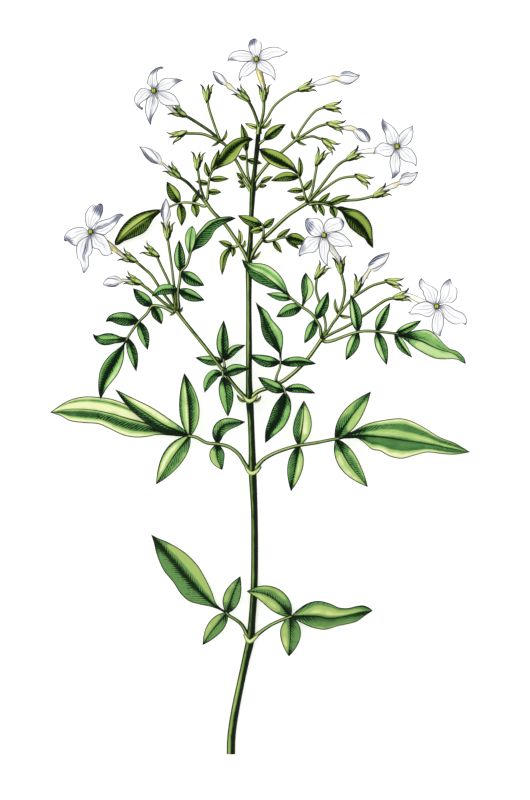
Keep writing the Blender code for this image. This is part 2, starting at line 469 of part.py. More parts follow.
# Open flowers: calyx as (shoot, number), centre, and petals as (path from the centre, width)
FLOWERS = [
    ("top_cyme", 1, (256.5, 60, 19.6), [
        ([(255.5, 49, 20.3), (255, 39, 19.3)], 14), ([(272, 53.5, 20.5), (288, 52.5, 19.3)], 12),
        ([(267, 71.5, 20.2), (275, 82.5, 19.0)], 13), ([(247.5, 71.5, 20.2), (240, 82.5, 19.0)], 12),
        ([(241, 57.5, 20.4), (227, 62.5, 19.2)], 12),
    ]),
    ("crown_left_cyme", 0, (154, 91.5, 19.4), [
        ([(150.5, 79, 20.2), (154, 70, 20.4), (163, 67.5, 19.7)], 10.5),
        ([(168.5, 85, 20.1), (183.5, 81.5, 18.9)], 12), ([(168, 99, 20.0), (180, 106, 18.8)], 14),
        ([(152.5, 109, 20.0), (151, 126, 18.8)], 13), ([(143, 97.5, 20.2), (134.5, 100, 19.2)], 13),
    ]),
    ("high_right_shoot", 1, (397, 147, 18.8), [
        ([(389.5, 132, 19.5), (382.5, 119, 18.5)], 14), ([(405.5, 136, 19.5), (412, 125.5, 18.6)], 13),
        ([(407.5, 157, 19.4), (415.5, 167, 18.4)], 14), ([(394, 164, 19.4), (391, 179.5, 18.2)], 11.5),
        ([(384, 150.5, 19.5), (373, 155.5, 18.4)], 13),
    ]),
    ("left_shoot", 0, (91, 232, 17.9), [
        ([(95.5, 218, 18.8), (102, 204, 18.0)], 16), ([(108, 224.5, 18.6), (124, 215.5, 17.6)], 12),
        ([(103, 243, 18.4), (113, 254, 17.4)], 14), ([(87.5, 252, 18.4), (83, 273, 17.0)], 14),
        ([(78, 234, 18.6), (65, 241, 17.4)], 15),
    ]),
    ("right_shoot", 0, (324, 235.5, 17.9), [
        ([(314, 228, 18.7), (306.5, 219, 17.9)], 17), ([(334.5, 228, 18.7), (343, 221, 17.9)], 16),
        ([(338.5, 241.5, 18.5), (353, 248, 17.4)], 14), ([(326.5, 251, 18.4), (328, 267, 17.2)], 11.5),
        ([(311, 245.5, 18.6), (298.5, 256.5, 17.4)], 14),
    ]),
    ("right_shoot", 4, (436.5, 306.5, 17.4), [
        ([(428, 291.5, 18.2), (421, 278, 17.2)], 13), ([(444.5, 292.5, 18.2), (450, 279, 17.2)], 15),
        ([(451, 315, 18.1), (465.5, 325, 17.0)], 14), ([(438.5, 321.5, 18.0), (440, 337, 17.0)], 13),
        ([(422.5, 308.5, 18.1), (408, 313, 17.0)], 13),
    ]),
]

# Closed flowers: calyx as (shoot, number), the path on from its mouth, and the greatest width
BUDS = [
    ("top_cyme", 0, [(229, 85.2, 14.6), (220, 77.5, 15.2), (212, 71.5, 15.4)], 11),
    ("top_cyme", 2, [(338, 79, 14.8), (349, 76.6, 15.2), (359.5, 75.5, 15.2)], 14),
    ("crown_right_cyme", 1, [(353, 130, 13.8), (363, 135, 14.0), (369.5, 142.5, 13.8)], 13),
    ("high_right_shoot", 3, [(399, 184, 13.0), (410, 177, 13.2), (418, 171.5, 13.0)], 14),
    ("high_left_shoot", 0, [(161, 160.5, 13.4), (149, 152, 13.8), (139, 146, 13.8)], 13),
    ("left_shoot", 3, [(166, 220, 14.0), (165.5, 209, 14.4), (166.5, 199, 14.6)], 10),
    ("left_shoot", 1, [(121.5, 280, 10.6), (112, 281.5, 10.9), (102.5, 284, 10.8)], 12),
    ("right_shoot", 1, [(369, 270.5, 12.8), (380, 260.5, 13.3), (389.5, 252.5, 13.3)], 12),
]


def place(point):
    """A plan point as numbers in metres."""
    column, row, height = point[:3]
    return ((column - PLATE_MIDDLE) * PIXEL, (MIDDLE_ROW - row) * PIXEL, height * MM)


def placed(points):
    """Plan points as an array in metres, with anything after the height kept."""
    return np.array([place(point) + tuple(point[3:]) for point in points])


def even_points(path, count):
    """Count points, evenly apart, on the Catmull-Rom curve through a path's points."""
    path = np.asarray(path, float)
    padded = np.vstack([2 * path[0] - path[1], path, 2 * path[-1] - path[-2]])
    fine = []
    for i in range(1, len(padded) - 2):
        before, start, end, after = padded[i - 1:i + 3]
        for t in np.linspace(0.0, 1.0, 12, endpoint=False):
            fine.append(0.5 * (2 * start + (end - before) * t
                               + (2 * before - 5 * start + 4 * end - after) * t ** 2
                               + (3 * start - before - 3 * end + after) * t ** 3))
    fine.append(padded[-2])
    fine = np.array(fine)
    steps = np.linalg.norm(np.diff(fine[:, :3], axis=0), axis=1)
    run = np.concatenate([[0.0], np.cumsum(steps)])
    wanted = np.linspace(0.0, run[-1], count)
    return np.stack([np.interp(wanted, run, column) for column in fine.T], axis=1)


def grown_from(path, parent, clearance):
    """A path from where it is clear of its parent, an array of axis points with a radius."""
    fine = even_points(path, 80)
    parent = even_points(parent, 200)
    away = [np.min(np.linalg.norm(parent[:, :3] - point[:3], axis=1) - parent[:, 3]) for point in fine]
    start = 0
    while away[start] < clearance and start < len(fine) // 2:
        start += 1
    return fine[start:]


def clear_scene():
    """Remove what the scene holds."""
    for item in list(bpy.data.objects):
        bpy.data.objects.remove(item)


def material(name, colour, roughness):
    """A plain material of one colour."""
    made = bpy.data.materials.new(name)
    made.use_nodes = True
    shader = made.node_tree.nodes["Principled BSDF"]
    shader.inputs["Base Color"].default_value = (*colour, 1.0)
    shader.inputs["Roughness"].default_value = roughness
    shader.inputs["Metallic"].default_value = 0.0
    return made


def tube(name, path, radii, home, resolution=1):
    """A tube along a path in metres, its radii in metres, as a closed mesh object."""
    curve = bpy.data.curves.new(name, "CURVE")
    curve.dimensions = "3D"
    curve.bevel_depth = 1.0
    curve.bevel_resolution = resolution
    curve.use_fill_caps = True
    spline = curve.splines.new("POLY")
    spline.points.add(len(path) - 1)
    for point, place_at, radius in zip(spline.points, path, radii):
        point.co = (*place_at[:3], 1.0)
        point.radius = radius
    drawn = bpy.data.objects.new(name, curve)
    home.objects.link(drawn)
    made = bpy.data.objects.new(name, meshed(drawn))
    bpy.data.objects.remove(drawn)
    weld(made.data)
    home.objects.link(made)
    return made


def meshed(item):
    """The mesh of an object as its modifiers leave it."""
    bpy.context.view_layer.update()
    graph = bpy.context.evaluated_depsgraph_get()
    return bpy.data.meshes.new_from_object(item.evaluated_get(graph))


def weld(mesh):
    """Join a tube's caps to its wall."""
    shape = bmesh.new()
    shape.from_mesh(mesh)
    bmesh.ops.remove_doubles(shape, verts=shape.verts, dist=0.000001)
    bmesh.ops.recalc_face_normals(shape, faces=shape.faces)
    shape.to_mesh(mesh)
    shape.free()


def leaflet_outline(t, peak=USUAL_PEAK, sharpness=USUAL_SHARPNESS):
    """Half a leaflet's width along it: greatest at the peak, drawn out to both ends."""
    return math.sin(math.pi * t ** (math.log(0.5) / math.log(peak))) ** sharpness


def petal_outline(t):
    """Half a petal's width along it: a claw that widens to a round end."""
    if t < 0.6:
        return 0.42 + 0.58 * math.sin(0.5 * math.pi * t / 0.6)
    return max(math.cos(0.5 * math.pi * (t - 0.6) / 0.4), 0.0) ** 0.55


def blade(name, path, width, home, outline, rows, lift=0.0, wave=0.0):
    """A thin blade along a path in metres: a grid bent to the path.

    With some lift it has a middle column and is folded up along its midrib.
    """
    spine = even_points(path, rows + 1)
    columns = 2 if lift > 0.0 else 1
    shape = bmesh.new()
    bmesh.ops.create_grid(shape, x_segments=columns, y_segments=rows, size=1.0)
    for corner in shape.verts:
        side = round(corner.co.x)
        row = round((corner.co.y + 1.0) / 2.0 * rows)
        t = row / rows
        ahead = spine[min(row + 1, rows)] - spine[max(row - 1, 0)]
        across = Vector((ahead[1], -ahead[0], 0.0)).normalized()
        half = max(0.5 * width * outline(t), BLADE_TIP_HALF)
        rise = half * lift + side * wave * math.sin(2.0 * math.pi * t) * half
        corner.co = Vector(spine[row][:3]) + across * (side * half) + Vector((0, 0, abs(side) * rise))
    bmesh.ops.triangulate(shape, faces=shape.faces)
    bmesh.ops.recalc_face_normals(shape, faces=shape.faces)
    mesh = bpy.data.meshes.new(name)
    shape.to_mesh(mesh)
    shape.free()
    sheet = bpy.data.objects.new(name, mesh)
    home.objects.link(sheet)
    thick = sheet.modifiers.new("thickness", "SOLIDIFY")
    thick.thickness = BLADE_THICKNESS
    thick.offset = 0.0
    made = bpy.data.objects.new(name, meshed(sheet))
    bpy.data.objects.remove(sheet)
    home.objects.link(made)
    return made


def fuse(name, pieces, stuff):
    """One closed body from a first piece and all that grows from it."""
    first = pieces[0]
    if len(pieces) > 1:
        rest = bpy.data.collections.new(name + "_pieces")
        for piece in pieces[1:]:
            rest.objects.link(piece)
        join = first.modifiers.new("join", "BOOLEAN")
        join.operation = "UNION"
        join.operand_type = "COLLECTION"
        join.collection = rest
    made = bpy.data.objects.new(name, meshed(first))
    merge_flat_faces(made.data)
    for piece in pieces:
        bpy.data.objects.remove(piece)
    SPRIG.objects.link(made)
    made.data.materials.clear()
    made.data.materials.append(stuff)
    made.data.shade_smooth()
    made.data.set_sharp_from_angle(angle=SMOOTH_ANGLE)
    return made


def merge_flat_faces(mesh):
    """Merge the slivers that a join leaves in a flat face, where the body stays closed."""
    shape = bmesh.new()
    shape.from_mesh(mesh)
    bmesh.ops.dissolve_limit(shape, angle_limit=FLAT_ANGLE, verts=shape.verts, edges=shape.edges)
    bmesh.ops.triangulate(shape, faces=shape.faces)
    if all(len(edge.link_faces) == 2 for edge in shape.edges):
        shape.to_mesh(mesh)
    shape.free()


def axis_of(points, width):
    """A shoot's axis as an array of points with a radius, in metres."""
    path = placed(points)
    radii = np.full((len(path), 1), 0.5 * width * PIXEL)
    return np.hstack([path, radii])


def calyx_frame(base, aim):
    """A calyx's base, the way it points, and two ways across it."""
    foot = Vector(place(base))
    along = (Vector(place(aim)) - foot).normalized()
    across = along.cross(Vector((0, 0, 1))).normalized()
    return foot, along, across, across.cross(along)


def calyx(name, base, aim):
    """A calyx's cup and its five awl-shaped teeth."""
    foot, along, across, over = calyx_frame(base, aim)
    cup_path = [foot + along * (share * CUP_LENGTH * MM) for share, _ in CUP_PROFILE]
    cup_radii = [share * CUP_RADIUS * MM for _, share in CUP_PROFILE]
    pieces = [tube(name + "_cup", cup_path, cup_radii, SHAPES, 1)]
    mouth = foot + along * (CUP_LENGTH * MM)
    for k in range(TEETH):
        turn = 2.0 * math.pi * k / TEETH
        out = across * math.cos(turn) + over * math.sin(turn)
        root = mouth - along * (TOOTH_ROOT_DEPTH * MM) + out * ((CUP_RADIUS - 1.5 * TOOTH_RADIUS) * MM)
        tip = mouth + along * (TOOTH_LENGTH * MM) + out * ((CUP_RADIUS + TOOTH_FLARE * TOOTH_LENGTH) * MM)
        pieces.append(tooth(name + "_tooth", root, tip))
    return pieces


def tooth(name, root, tip):
    """A three-sided awl from its root to its tip."""
    shape = bmesh.new()
    length = (tip - root).length
    turned = (tip - root).to_track_quat("Z", "Y").to_matrix().to_4x4()
    turned.translation = (root + tip) / 2
    bmesh.ops.create_cone(shape, cap_ends=True, segments=3, radius1=TOOTH_RADIUS * MM,
                          radius2=TOOTH_TIP * MM, depth=length, matrix=turned)
    mesh = bpy.data.meshes.new(name)
    shape.to_mesh(mesh)
    shape.free()
    made = bpy.data.objects.new(name, mesh)
    SHAPES.objects.link(made)
    return made


def seat_in_calyx(shoot, number):
    """Where a corolla starts in its calyx's mouth, and the way it goes."""
    base, aim = SHOOTS[shoot]["calyxes"][number]
    foot, along, _, _ = calyx_frame(base, aim)
    return foot + along * (CUP_LENGTH * MM + SEAT_GAP), along


def make_main_stem():
    """The main stem with its nodes and scale bracts, flat underneath where it rests."""
    path = even_points(placed(MAIN_STEM), MAIN_STATIONS)
    pieces = [tube("stem", path, 0.5 * PIXEL * path[:, 3], SHAPES, 2)]
    for k, (points, width) in enumerate(STEM_BRACTS):
        pieces.append(blade(f"bract_{k}", placed(points), width * PIXEL, SHAPES, leaflet_outline, BRACT_ROWS))
    stem = fuse("main_stem", pieces, STUFF["stem"])
    bpy.ops.mesh.primitive_cube_add(size=1.0, location=(0, 0, -0.05), scale=(1.0, 1.0, 0.1))
    floor = bpy.context.object
    floor.name = "resting_cut"
    for home in list(floor.users_collection):
        home.objects.unlink(floor)
    SHAPES.objects.link(floor)
    cut = stem.modifiers.new("resting_flat", "BOOLEAN")
    cut.operation = "DIFFERENCE"
    cut.object = floor
    mesh = meshed(stem)
    stem.modifiers.clear()
    stem.data = mesh
    bpy.data.objects.remove(floor)


def make_shoot(name, plan):
    """A shoot's axis, flower stalks, bracts and calyxes as one body."""
    axis = axis_of(plan["axis"], plan["width"])
    if name != "top_cyme":
        axis = grown_from(axis, MAIN_AXIS, ROOT_SHARE * 0.5 * plan["width"] * PIXEL + SEAT_GAP)
    axis = even_points(axis, SHORT_SHOOT_STATIONS if name == "top_cyme" else SHOOT_STATIONS)
    pieces = [tube("axis", axis, axis[:, 3], SHAPES, 2)]
    for k, points in enumerate(plan["stalks"]):
        path = even_points(placed(points), len(points) + 1)
        pieces.append(tube(f"stalk_{k}", path, [PEDICEL_RADIUS * MM] * len(path), SHAPES, 0))
    for k, (points, width) in enumerate(plan["bracts"]):
        pieces.append(blade(f"bract_{k}", placed(points), width * PIXEL, SHAPES, leaflet_outline, BRACT_ROWS))
    for base, aim in plan["calyxes"]:
        pieces.extend(calyx("calyx", base, aim))
    fuse(name, pieces, STUFF["stem"])


def make_leaf(name, plan):
    """A leaf's stalk and its leaflets as one body."""
    parent, radius_mm, stalk, leaflets = plan
    axis = MAIN_AXIS if parent == "main_stem" else axis_of(SHOOTS[parent]["axis"], SHOOTS[parent]["width"])
    path = grown_from(placed(stalk), axis, ROOT_SHARE * radius_mm * MM + SEAT_GAP)
    path = even_points(path, len(stalk))
    taper = np.linspace(*STALK_TAPER, len(path))
    pieces = [tube("leaf_stalk", path, radius_mm * MM * taper, SHAPES, 0)]
    for k, (points, width, *form) in enumerate(leaflets):
        rows = next((count for limit, count in BLADE_ROWS.items() if width < limit), WIDE_BLADE_ROWS)
        lift = BLADE_FOLD if width * PIXEL_MM > FOLDED_WIDTH else 0.0
        wave = BLADE_WAVE if width > WAVED_PIXELS else 0.0
        outline = partial(leaflet_outline, **dict(zip(("peak", "sharpness"), form)))
        pieces.append(blade(f"leaflet_{k}", placed(points), width * PIXEL, SHAPES, outline, rows, lift, wave))
    fuse(name, pieces, STUFF["leaf"])


def make_flower(number, plan):
    """An open corolla, a bent tube with five petals, and the anthers in its throat."""
    shoot, calyx_number, centre, petals = plan
    start, along = seat_in_calyx(shoot, calyx_number)
    throat = Vector(place(centre))
    rise = throat.z - start.z
    below = throat - Vector((0, 0, 0.42 * rise))
    flat = Vector((throat.x - start.x, throat.y - start.y, 0))
    path = placed_vectors([start, start + along * (TUBE_STRAIGHT * MM),
                           start + flat * 0.62 + Vector((0, 0, 0.45 * rise)), below - flat * 0.03, throat])
    path = even_points(path, TUBE_STATIONS)
    shares = np.linspace(0.0, 1.0, TUBE_STATIONS)
    radii = TUBE_FOOT_RADIUS + (THROAT_RADIUS - TUBE_FOOT_RADIUS) * (0.55 * shares + 0.45 * shares ** 6)
    pieces = [tube("corolla_tube", path, radii * MM, SHAPES, 2)]
    for k, (points, width) in enumerate(petals):
        line = [Vector(place(point)) for point in points]
        out = Vector((line[0].x - throat.x, line[0].y - throat.y, 0)).normalized()
        root = throat + out * (PETAL_ROOT_REACH * MM) - Vector((0, 0, PETAL_ROOT_DEPTH * MM))
        path = placed_vectors([root] + line)
        pieces.append(blade(f"petal_{k}", path, PETAL_FULLNESS * width * PIXEL, SHAPES, petal_outline,
                            PETAL_ROWS))
    fuse(f"flower_{number}", pieces, STUFF["petal"])
    anthers = []
    for side in (-1, 1):
        bpy.ops.mesh.primitive_uv_sphere_add(segments=6, ring_count=3, radius=1.0)
        grain = bpy.context.object
        for home in list(grain.users_collection):
            home.objects.unlink(grain)
        SHAPES.objects.link(grain)
        sizes = Vector((ANTHER_RADIUS, ANTHER_LENGTH, ANTHER_RADIUS)) * MM
        for corner in grain.data.vertices:
            corner.co = Vector(corner.co) * sizes
        high = Vector((side * 0.75 * ANTHER_RADIUS * MM, 0, SEAT_GAP + 1.1 * ANTHER_RADIUS * MM))
        for corner in grain.data.vertices:
            corner.co = corner.co + throat + high
        anthers.append(grain)
    fuse(f"flower_{number}_anthers", anthers, STUFF["anther"])


def placed_vectors(vectors):
    """Vectors as an array of points."""
    return np.array([tuple(vector) for vector in vectors])


def make_bud(number, plan):
    """A closed corolla: a slender tube that swells to a pointed bud."""
    shoot, calyx_number, points, width = plan
    start, along = seat_in_calyx(shoot, calyx_number)
    line = [start, start + along * (BUD_STRAIGHT * MM)] + [Vector(place(point)) for point in points]
    path = even_points(placed_vectors(line), BUD_STATIONS)
    shares = np.linspace(0.0, 1.0, BUD_STATIONS)
    greatest = 0.5 * width * PIXEL_MM
    slender = TUBE_FOOT_RADIUS + BUD_TUBE_SWELL * shares
    run = np.clip((shares - BUD_SWELL_START) / (1.0 - BUD_SWELL_START), 0.0, 1.0)
    swelling = np.sin(np.pi * run ** 0.95)
    radii = slender * (1.0 - shares ** 8) + (greatest - TUBE_FOOT_RADIUS - BUD_SWELL_START) * swelling
    radii[-1] = BUD_TIP_RADIUS
    bud = tube("bud", path, radii * MM, SHAPES, 2)
    fuse(f"bud_{number}", [bud], STUFF["petal"])


clear_scene()
SPRIG = bpy.data.collections.new("jasmine_sprig")
SHAPES = bpy.data.collections.new("shapes_to_join")
bpy.context.scene.collection.children.link(SPRIG)
bpy.context.scene.collection.children.link(SHAPES)
STUFF = {
    "leaf": material("leaf", LEAF_GREEN, 0.55),
    "stem": material("stem", STEM_GREEN, 0.5),
    "petal": material("petal", PETAL_WHITE, 0.6),
    "anther": material("anther", ANTHER_GREEN, 0.6),
}
MAIN_AXIS = placed(MAIN_STEM)
MAIN_AXIS[:, 3] *= 0.5 * PIXEL

make_main_stem()
for shoot_name, shoot_plan in SHOOTS.items():
    make_shoot(shoot_name, shoot_plan)
for leaf_name, leaf_plan in LEAVES.items():
    make_leaf(leaf_name, leaf_plan)
for flower_number, flower_plan in enumerate(FLOWERS, start=1):
    make_flower(flower_number, flower_plan)
for bud_number, bud_plan in enumerate(BUDS, start=1):
    make_bud(bud_number, bud_plan)
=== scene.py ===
"""A cut sprig of common jasmine in flower, lying on a pale surface and seen from above.

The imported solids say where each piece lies. Every one of them is replaced by a finer surface
of the same form: folded and veined leaflets on grooved stalks, a ridged stem, calyxes with
awl-shaped teeth, corollas with a hollow throat, and buds whose petals are rolled together.
A plan point is (column, row, height): plate pixels and mm. Widths are in plate pixels.
"""
import math

import bpy
import numpy as np
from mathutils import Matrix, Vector


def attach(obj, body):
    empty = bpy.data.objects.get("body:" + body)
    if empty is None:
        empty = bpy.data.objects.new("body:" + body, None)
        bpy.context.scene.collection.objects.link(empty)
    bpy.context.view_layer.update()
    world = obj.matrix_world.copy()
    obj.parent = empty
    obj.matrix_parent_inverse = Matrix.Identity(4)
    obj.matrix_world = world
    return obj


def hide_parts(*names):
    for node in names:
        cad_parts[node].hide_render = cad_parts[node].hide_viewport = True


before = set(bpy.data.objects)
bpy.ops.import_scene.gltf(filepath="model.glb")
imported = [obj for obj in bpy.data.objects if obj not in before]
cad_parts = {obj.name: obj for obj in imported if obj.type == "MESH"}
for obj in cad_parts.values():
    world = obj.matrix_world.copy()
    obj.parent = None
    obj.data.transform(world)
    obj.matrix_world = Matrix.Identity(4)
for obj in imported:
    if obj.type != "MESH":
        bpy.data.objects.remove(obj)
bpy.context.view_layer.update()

# The plate and its scale, as in the solids, and the way up
SPRIG_LENGTH = 0.3
MM = 0.001
PLATE_TOP = 39.0
PLATE_FOOT = 755.0
PLATE_MIDDLE = 260.2
PIXEL = SPRIG_LENGTH / (PLATE_FOOT - PLATE_TOP)
MIDDLE_ROW = (PLATE_TOP + PLATE_FOOT) / 2
PICTURE_SIZE = (530, 800)
UP = np.array([0.0, 0.0, 1.0])

# Curves through given points: the steps between two of them
CURVE_STEPS = 16

# Blades, in mm where they aren't shares or counts
BLADE_THICKNESS = 0.42
BLADE_COLUMNS = 9
BROAD_BLADE_COLUMNS = 13
BLADE_STEP = 0.75
BLADE_ROWS = (14, 80)
BLADE_FOLD = 0.16
SMALL_BLADE_FOLD = 0.1
BLADE_WAVE = 0.03
BROAD_BLADE_WAVE = 0.06
USUAL_PEAK = 0.42
USUAL_SHARPNESS = 0.85
BLADE_TIP_HALF = 0.1
ROOT_HALF = 0.38
GREAT_ROOT_HALF = 0.56
BRACT_ROOT_HALF = 0.45
VEIN_RELIEF = 0.05
VEIN_SPACING = 2.2
VEIN_SLOPE = 1.1
HATCH_PITCH = 1.2

# Leaflets' widths, in plate pixels where they aren't in mm, past which their make changes
YOUNG_WIDTH = 9
RIMMED_WIDTH = 11
FOLDED_WIDTH_MM = 5.1
BROAD_WIDTH = 19
GREAT_WIDTH = 26

# The widths of the inked rims, in mm
BLADE_RIM = 0.42
SMALL_BLADE_RIM = 0.3
BRACT_RIM = 0.24
PETAL_RIM = 0.4
STALK_RIM = 0.34
STEM_RIM = 0.52

# Stalks' radii, and calyxes, in mm
WIDE_STALK = 0.82
LEAF_STALK = 0.67
SMALL_STALK = 0.54
FLOWER_STALK = 0.56
STALK_JOIN = 1.2
CUP_LENGTH = 3.2
CUP_RADIUS = 1.55
CUP_RIBS = 5
CUP_PROFILE = [(-1.6, 0.52), (-0.8, 0.72), (-0.2, 1.15), (0.5, 1.42), (1.4, 1.6), (2.3, 1.78), (3.0, 1.92),
               (3.3, 1.86), (3.1, 1.6), (2.2, 1.36), (1.2, 1.0), (0.9, 0.05)]
TEETH = 5
TOOTH_RADII = [0.78, 0.8, 0.76, 0.66, 0.54, 0.42, 0.3, 0.19, 0.07]

# The path of a calyx's tooth, in mm beyond the cup's mouth and outside its radius
TOOTH_PATH = [(-0.9, -0.2), (1.2, 0.22), (2.5, 0.8), (3.3, 2.05)]

# Flowers and buds, in mm where they aren't shares or counts
LIP_PROFILE = [(-0.9, 1.15), (-0.35, 1.34), (0.0, 1.36), (0.22, 1.15), (0.2, 0.9), (-0.15, 0.7),
               (-0.55, 0.56), (-0.62, 0.05)]
TUBE_START = 1.4
TUBE_STRAIGHT = 2.2
TUBE_FOOT_RADIUS = 0.9
TUBE_MOUTH_RADIUS = 1.4
PETAL_THICKNESS = 0.3
PETAL_ARCH = 0.9
PETAL_CLAW = 0.45
PETAL_ROWS = 44
PETAL_COLUMNS = 15
BUD_PETALS = 5
BUD_OVERLAP = 0.09
BUD_TWIST = 1.7
BUD_TIP_RADIUS = 0.08
BUD_ROWS = 60
BUD_ROOT_ROWS = 6
BUD_AROUND = 50
ANTHER_RADIUS = 0.42
ANTHER_LENGTH = 0.85
ANTHER_HEIGHT = 0.62

# How bright a white surface looks on the stage, where 1 is the screen's white
STAGE_LIGHT = 1.25

# The way the plate's light comes from, which says where a round piece is painted pale, as lit, and where
# it is painted deep, as in shade, and the way that a leaflet's painted pale, lit half faces
LIGHT_FROM = np.array([-0.72, 0.5, 0.48])
PALE_FROM = np.array([-0.35, 0.94])

# The finishes: noise in cells to the metre, how far painted shade's strokes and wash and the rims' ink cover
# what is under them, where a rim's ink starts and is full, in rim widths, and the petals' veins as (place
# across, end)
LEAF_TOOTH = 1400.0
LEAF_BLOTCHES = 190.0
STALK_BLOTCHES = 200.0
STROKE_WOBBLE = 420.0
STROKE_BREAKS = 900.0
FLOOR_TOOTH = 900.0
STROKE_COVER = 0.94
RIM_COVER = 0.96
WASH_COVER = 0.85
LEAF_RIM_FADE = (1.35, 0.85)
STALK_RIM_FADE = (1.35, 0.75)
PETAL_RIM_FADE = (1.25, 0.7)
PETAL_VEINS = ((-0.02, 0.85), (-0.46, 0.55), (0.42, 0.62))
LEAF_SPECULAR = 0.06
PETAL_SPECULAR = 0.2
PETAL_SHEEN = 0.15

# The stage: sizes in metres, the lens and its sensor in mm, the height that is framed in mm,
# the lamp's spread in degrees, and how much steeper it shines than the plate's light
FLOOR_HALF = 12.0
FLOOR_DROP = 0.0001
FLOOR_GLOW = 0.42
WHITE = (1.0, 1.0, 1.0, 1.0)
SKY_STRENGTH = 1.03
LAMP_STRENGTH = 0.95
LAMP_SPREAD = 50
LAMP_STEEPNESS = 2.2
LENS = 400.0
SENSOR_SIZE = 36.0
VIEW_HEIGHT = 10.0
FARTHEST_SEEN = 100.0

# The main stem: plan points with the width
MAIN_STEM = [
    (230.8, 755, 1.55, 8.5), (231, 742, 1.55, 8.4), (232.6, 726, 1.55, 8.2), (236.2, 705, 1.6, 8),
    (240.3, 685, 1.75, 7.6), (245.5, 661, 2.05, 7.6), (250, 641, 2.35, 8.4), (252, 620, 2.65, 7.1),
    (254, 590, 3.1, 7), (254.6, 550, 3.8, 7), (254.2, 510, 4.6, 6.8), (252.5, 472, 5.3, 7.9),
    (252, 450, 5.7, 6.8), (250.9, 420, 6.3, 6.5), (249.6, 400, 6.7, 7.6), (249, 380, 7.1, 6.2),
    (249, 340, 8, 6), (248.8, 300, 8.9, 5.5), (249, 262, 9.7, 6.6), (250.5, 240, 10.2, 4.9),
    (251.4, 215, 10.7, 4.7), (253, 188, 11.3, 5.8), (255, 168, 11.7, 4.3), (257.4, 146, 12.2, 5),
    (258.5, 131, 12.5, 4.2),
]

# How much deeper the stem's painted shade is, at shares of the way up it; the sharp dark band at 0.56, just
# below a joint, is a painted shadow
STEM_PAINTED_SHADE = [
    (0, 0.16), (0.06, 0.2), (0.11, 0.03), (0.15, 0.36), (0.22, 0.48), (0.25, 0.5), (0.29, 0.24),
    (0.35, 0.42), (0.44, 0.4), (0.5, 0.34), (0.54, 0.28), (0.56, 0.85), (0.58, 0.44), (0.62, 0.34),
    (0.65, 0.03), (0.76, 0), (0.79, 0.5), (0.86, 0.34), (0.93, 0.46), (0.97, 0.7), (1, 1.1),
]

# Scale bracts on the main stem's nodes, each a path and a width, and their painted light and shade, set as a
# leaflet's
STEM_BRACTS = [
    ([(251, 401, 6.2), (258, 400, 5.6), (261.5, 395.5, 5.4)], 4),
    ([(248, 401, 6.2), (241, 400, 5.4), (236.5, 394.5, 5.2)], 4),
    ([(250.5, 260, 9.6), (256, 257, 9.2), (261, 251, 8.8)], 3.5),
]
BRACT_LIGHT_AND_SHADE = ((0.3, 0.15, 0.25), (0.15, 0.05, 0.15), 0.1, 0.3)

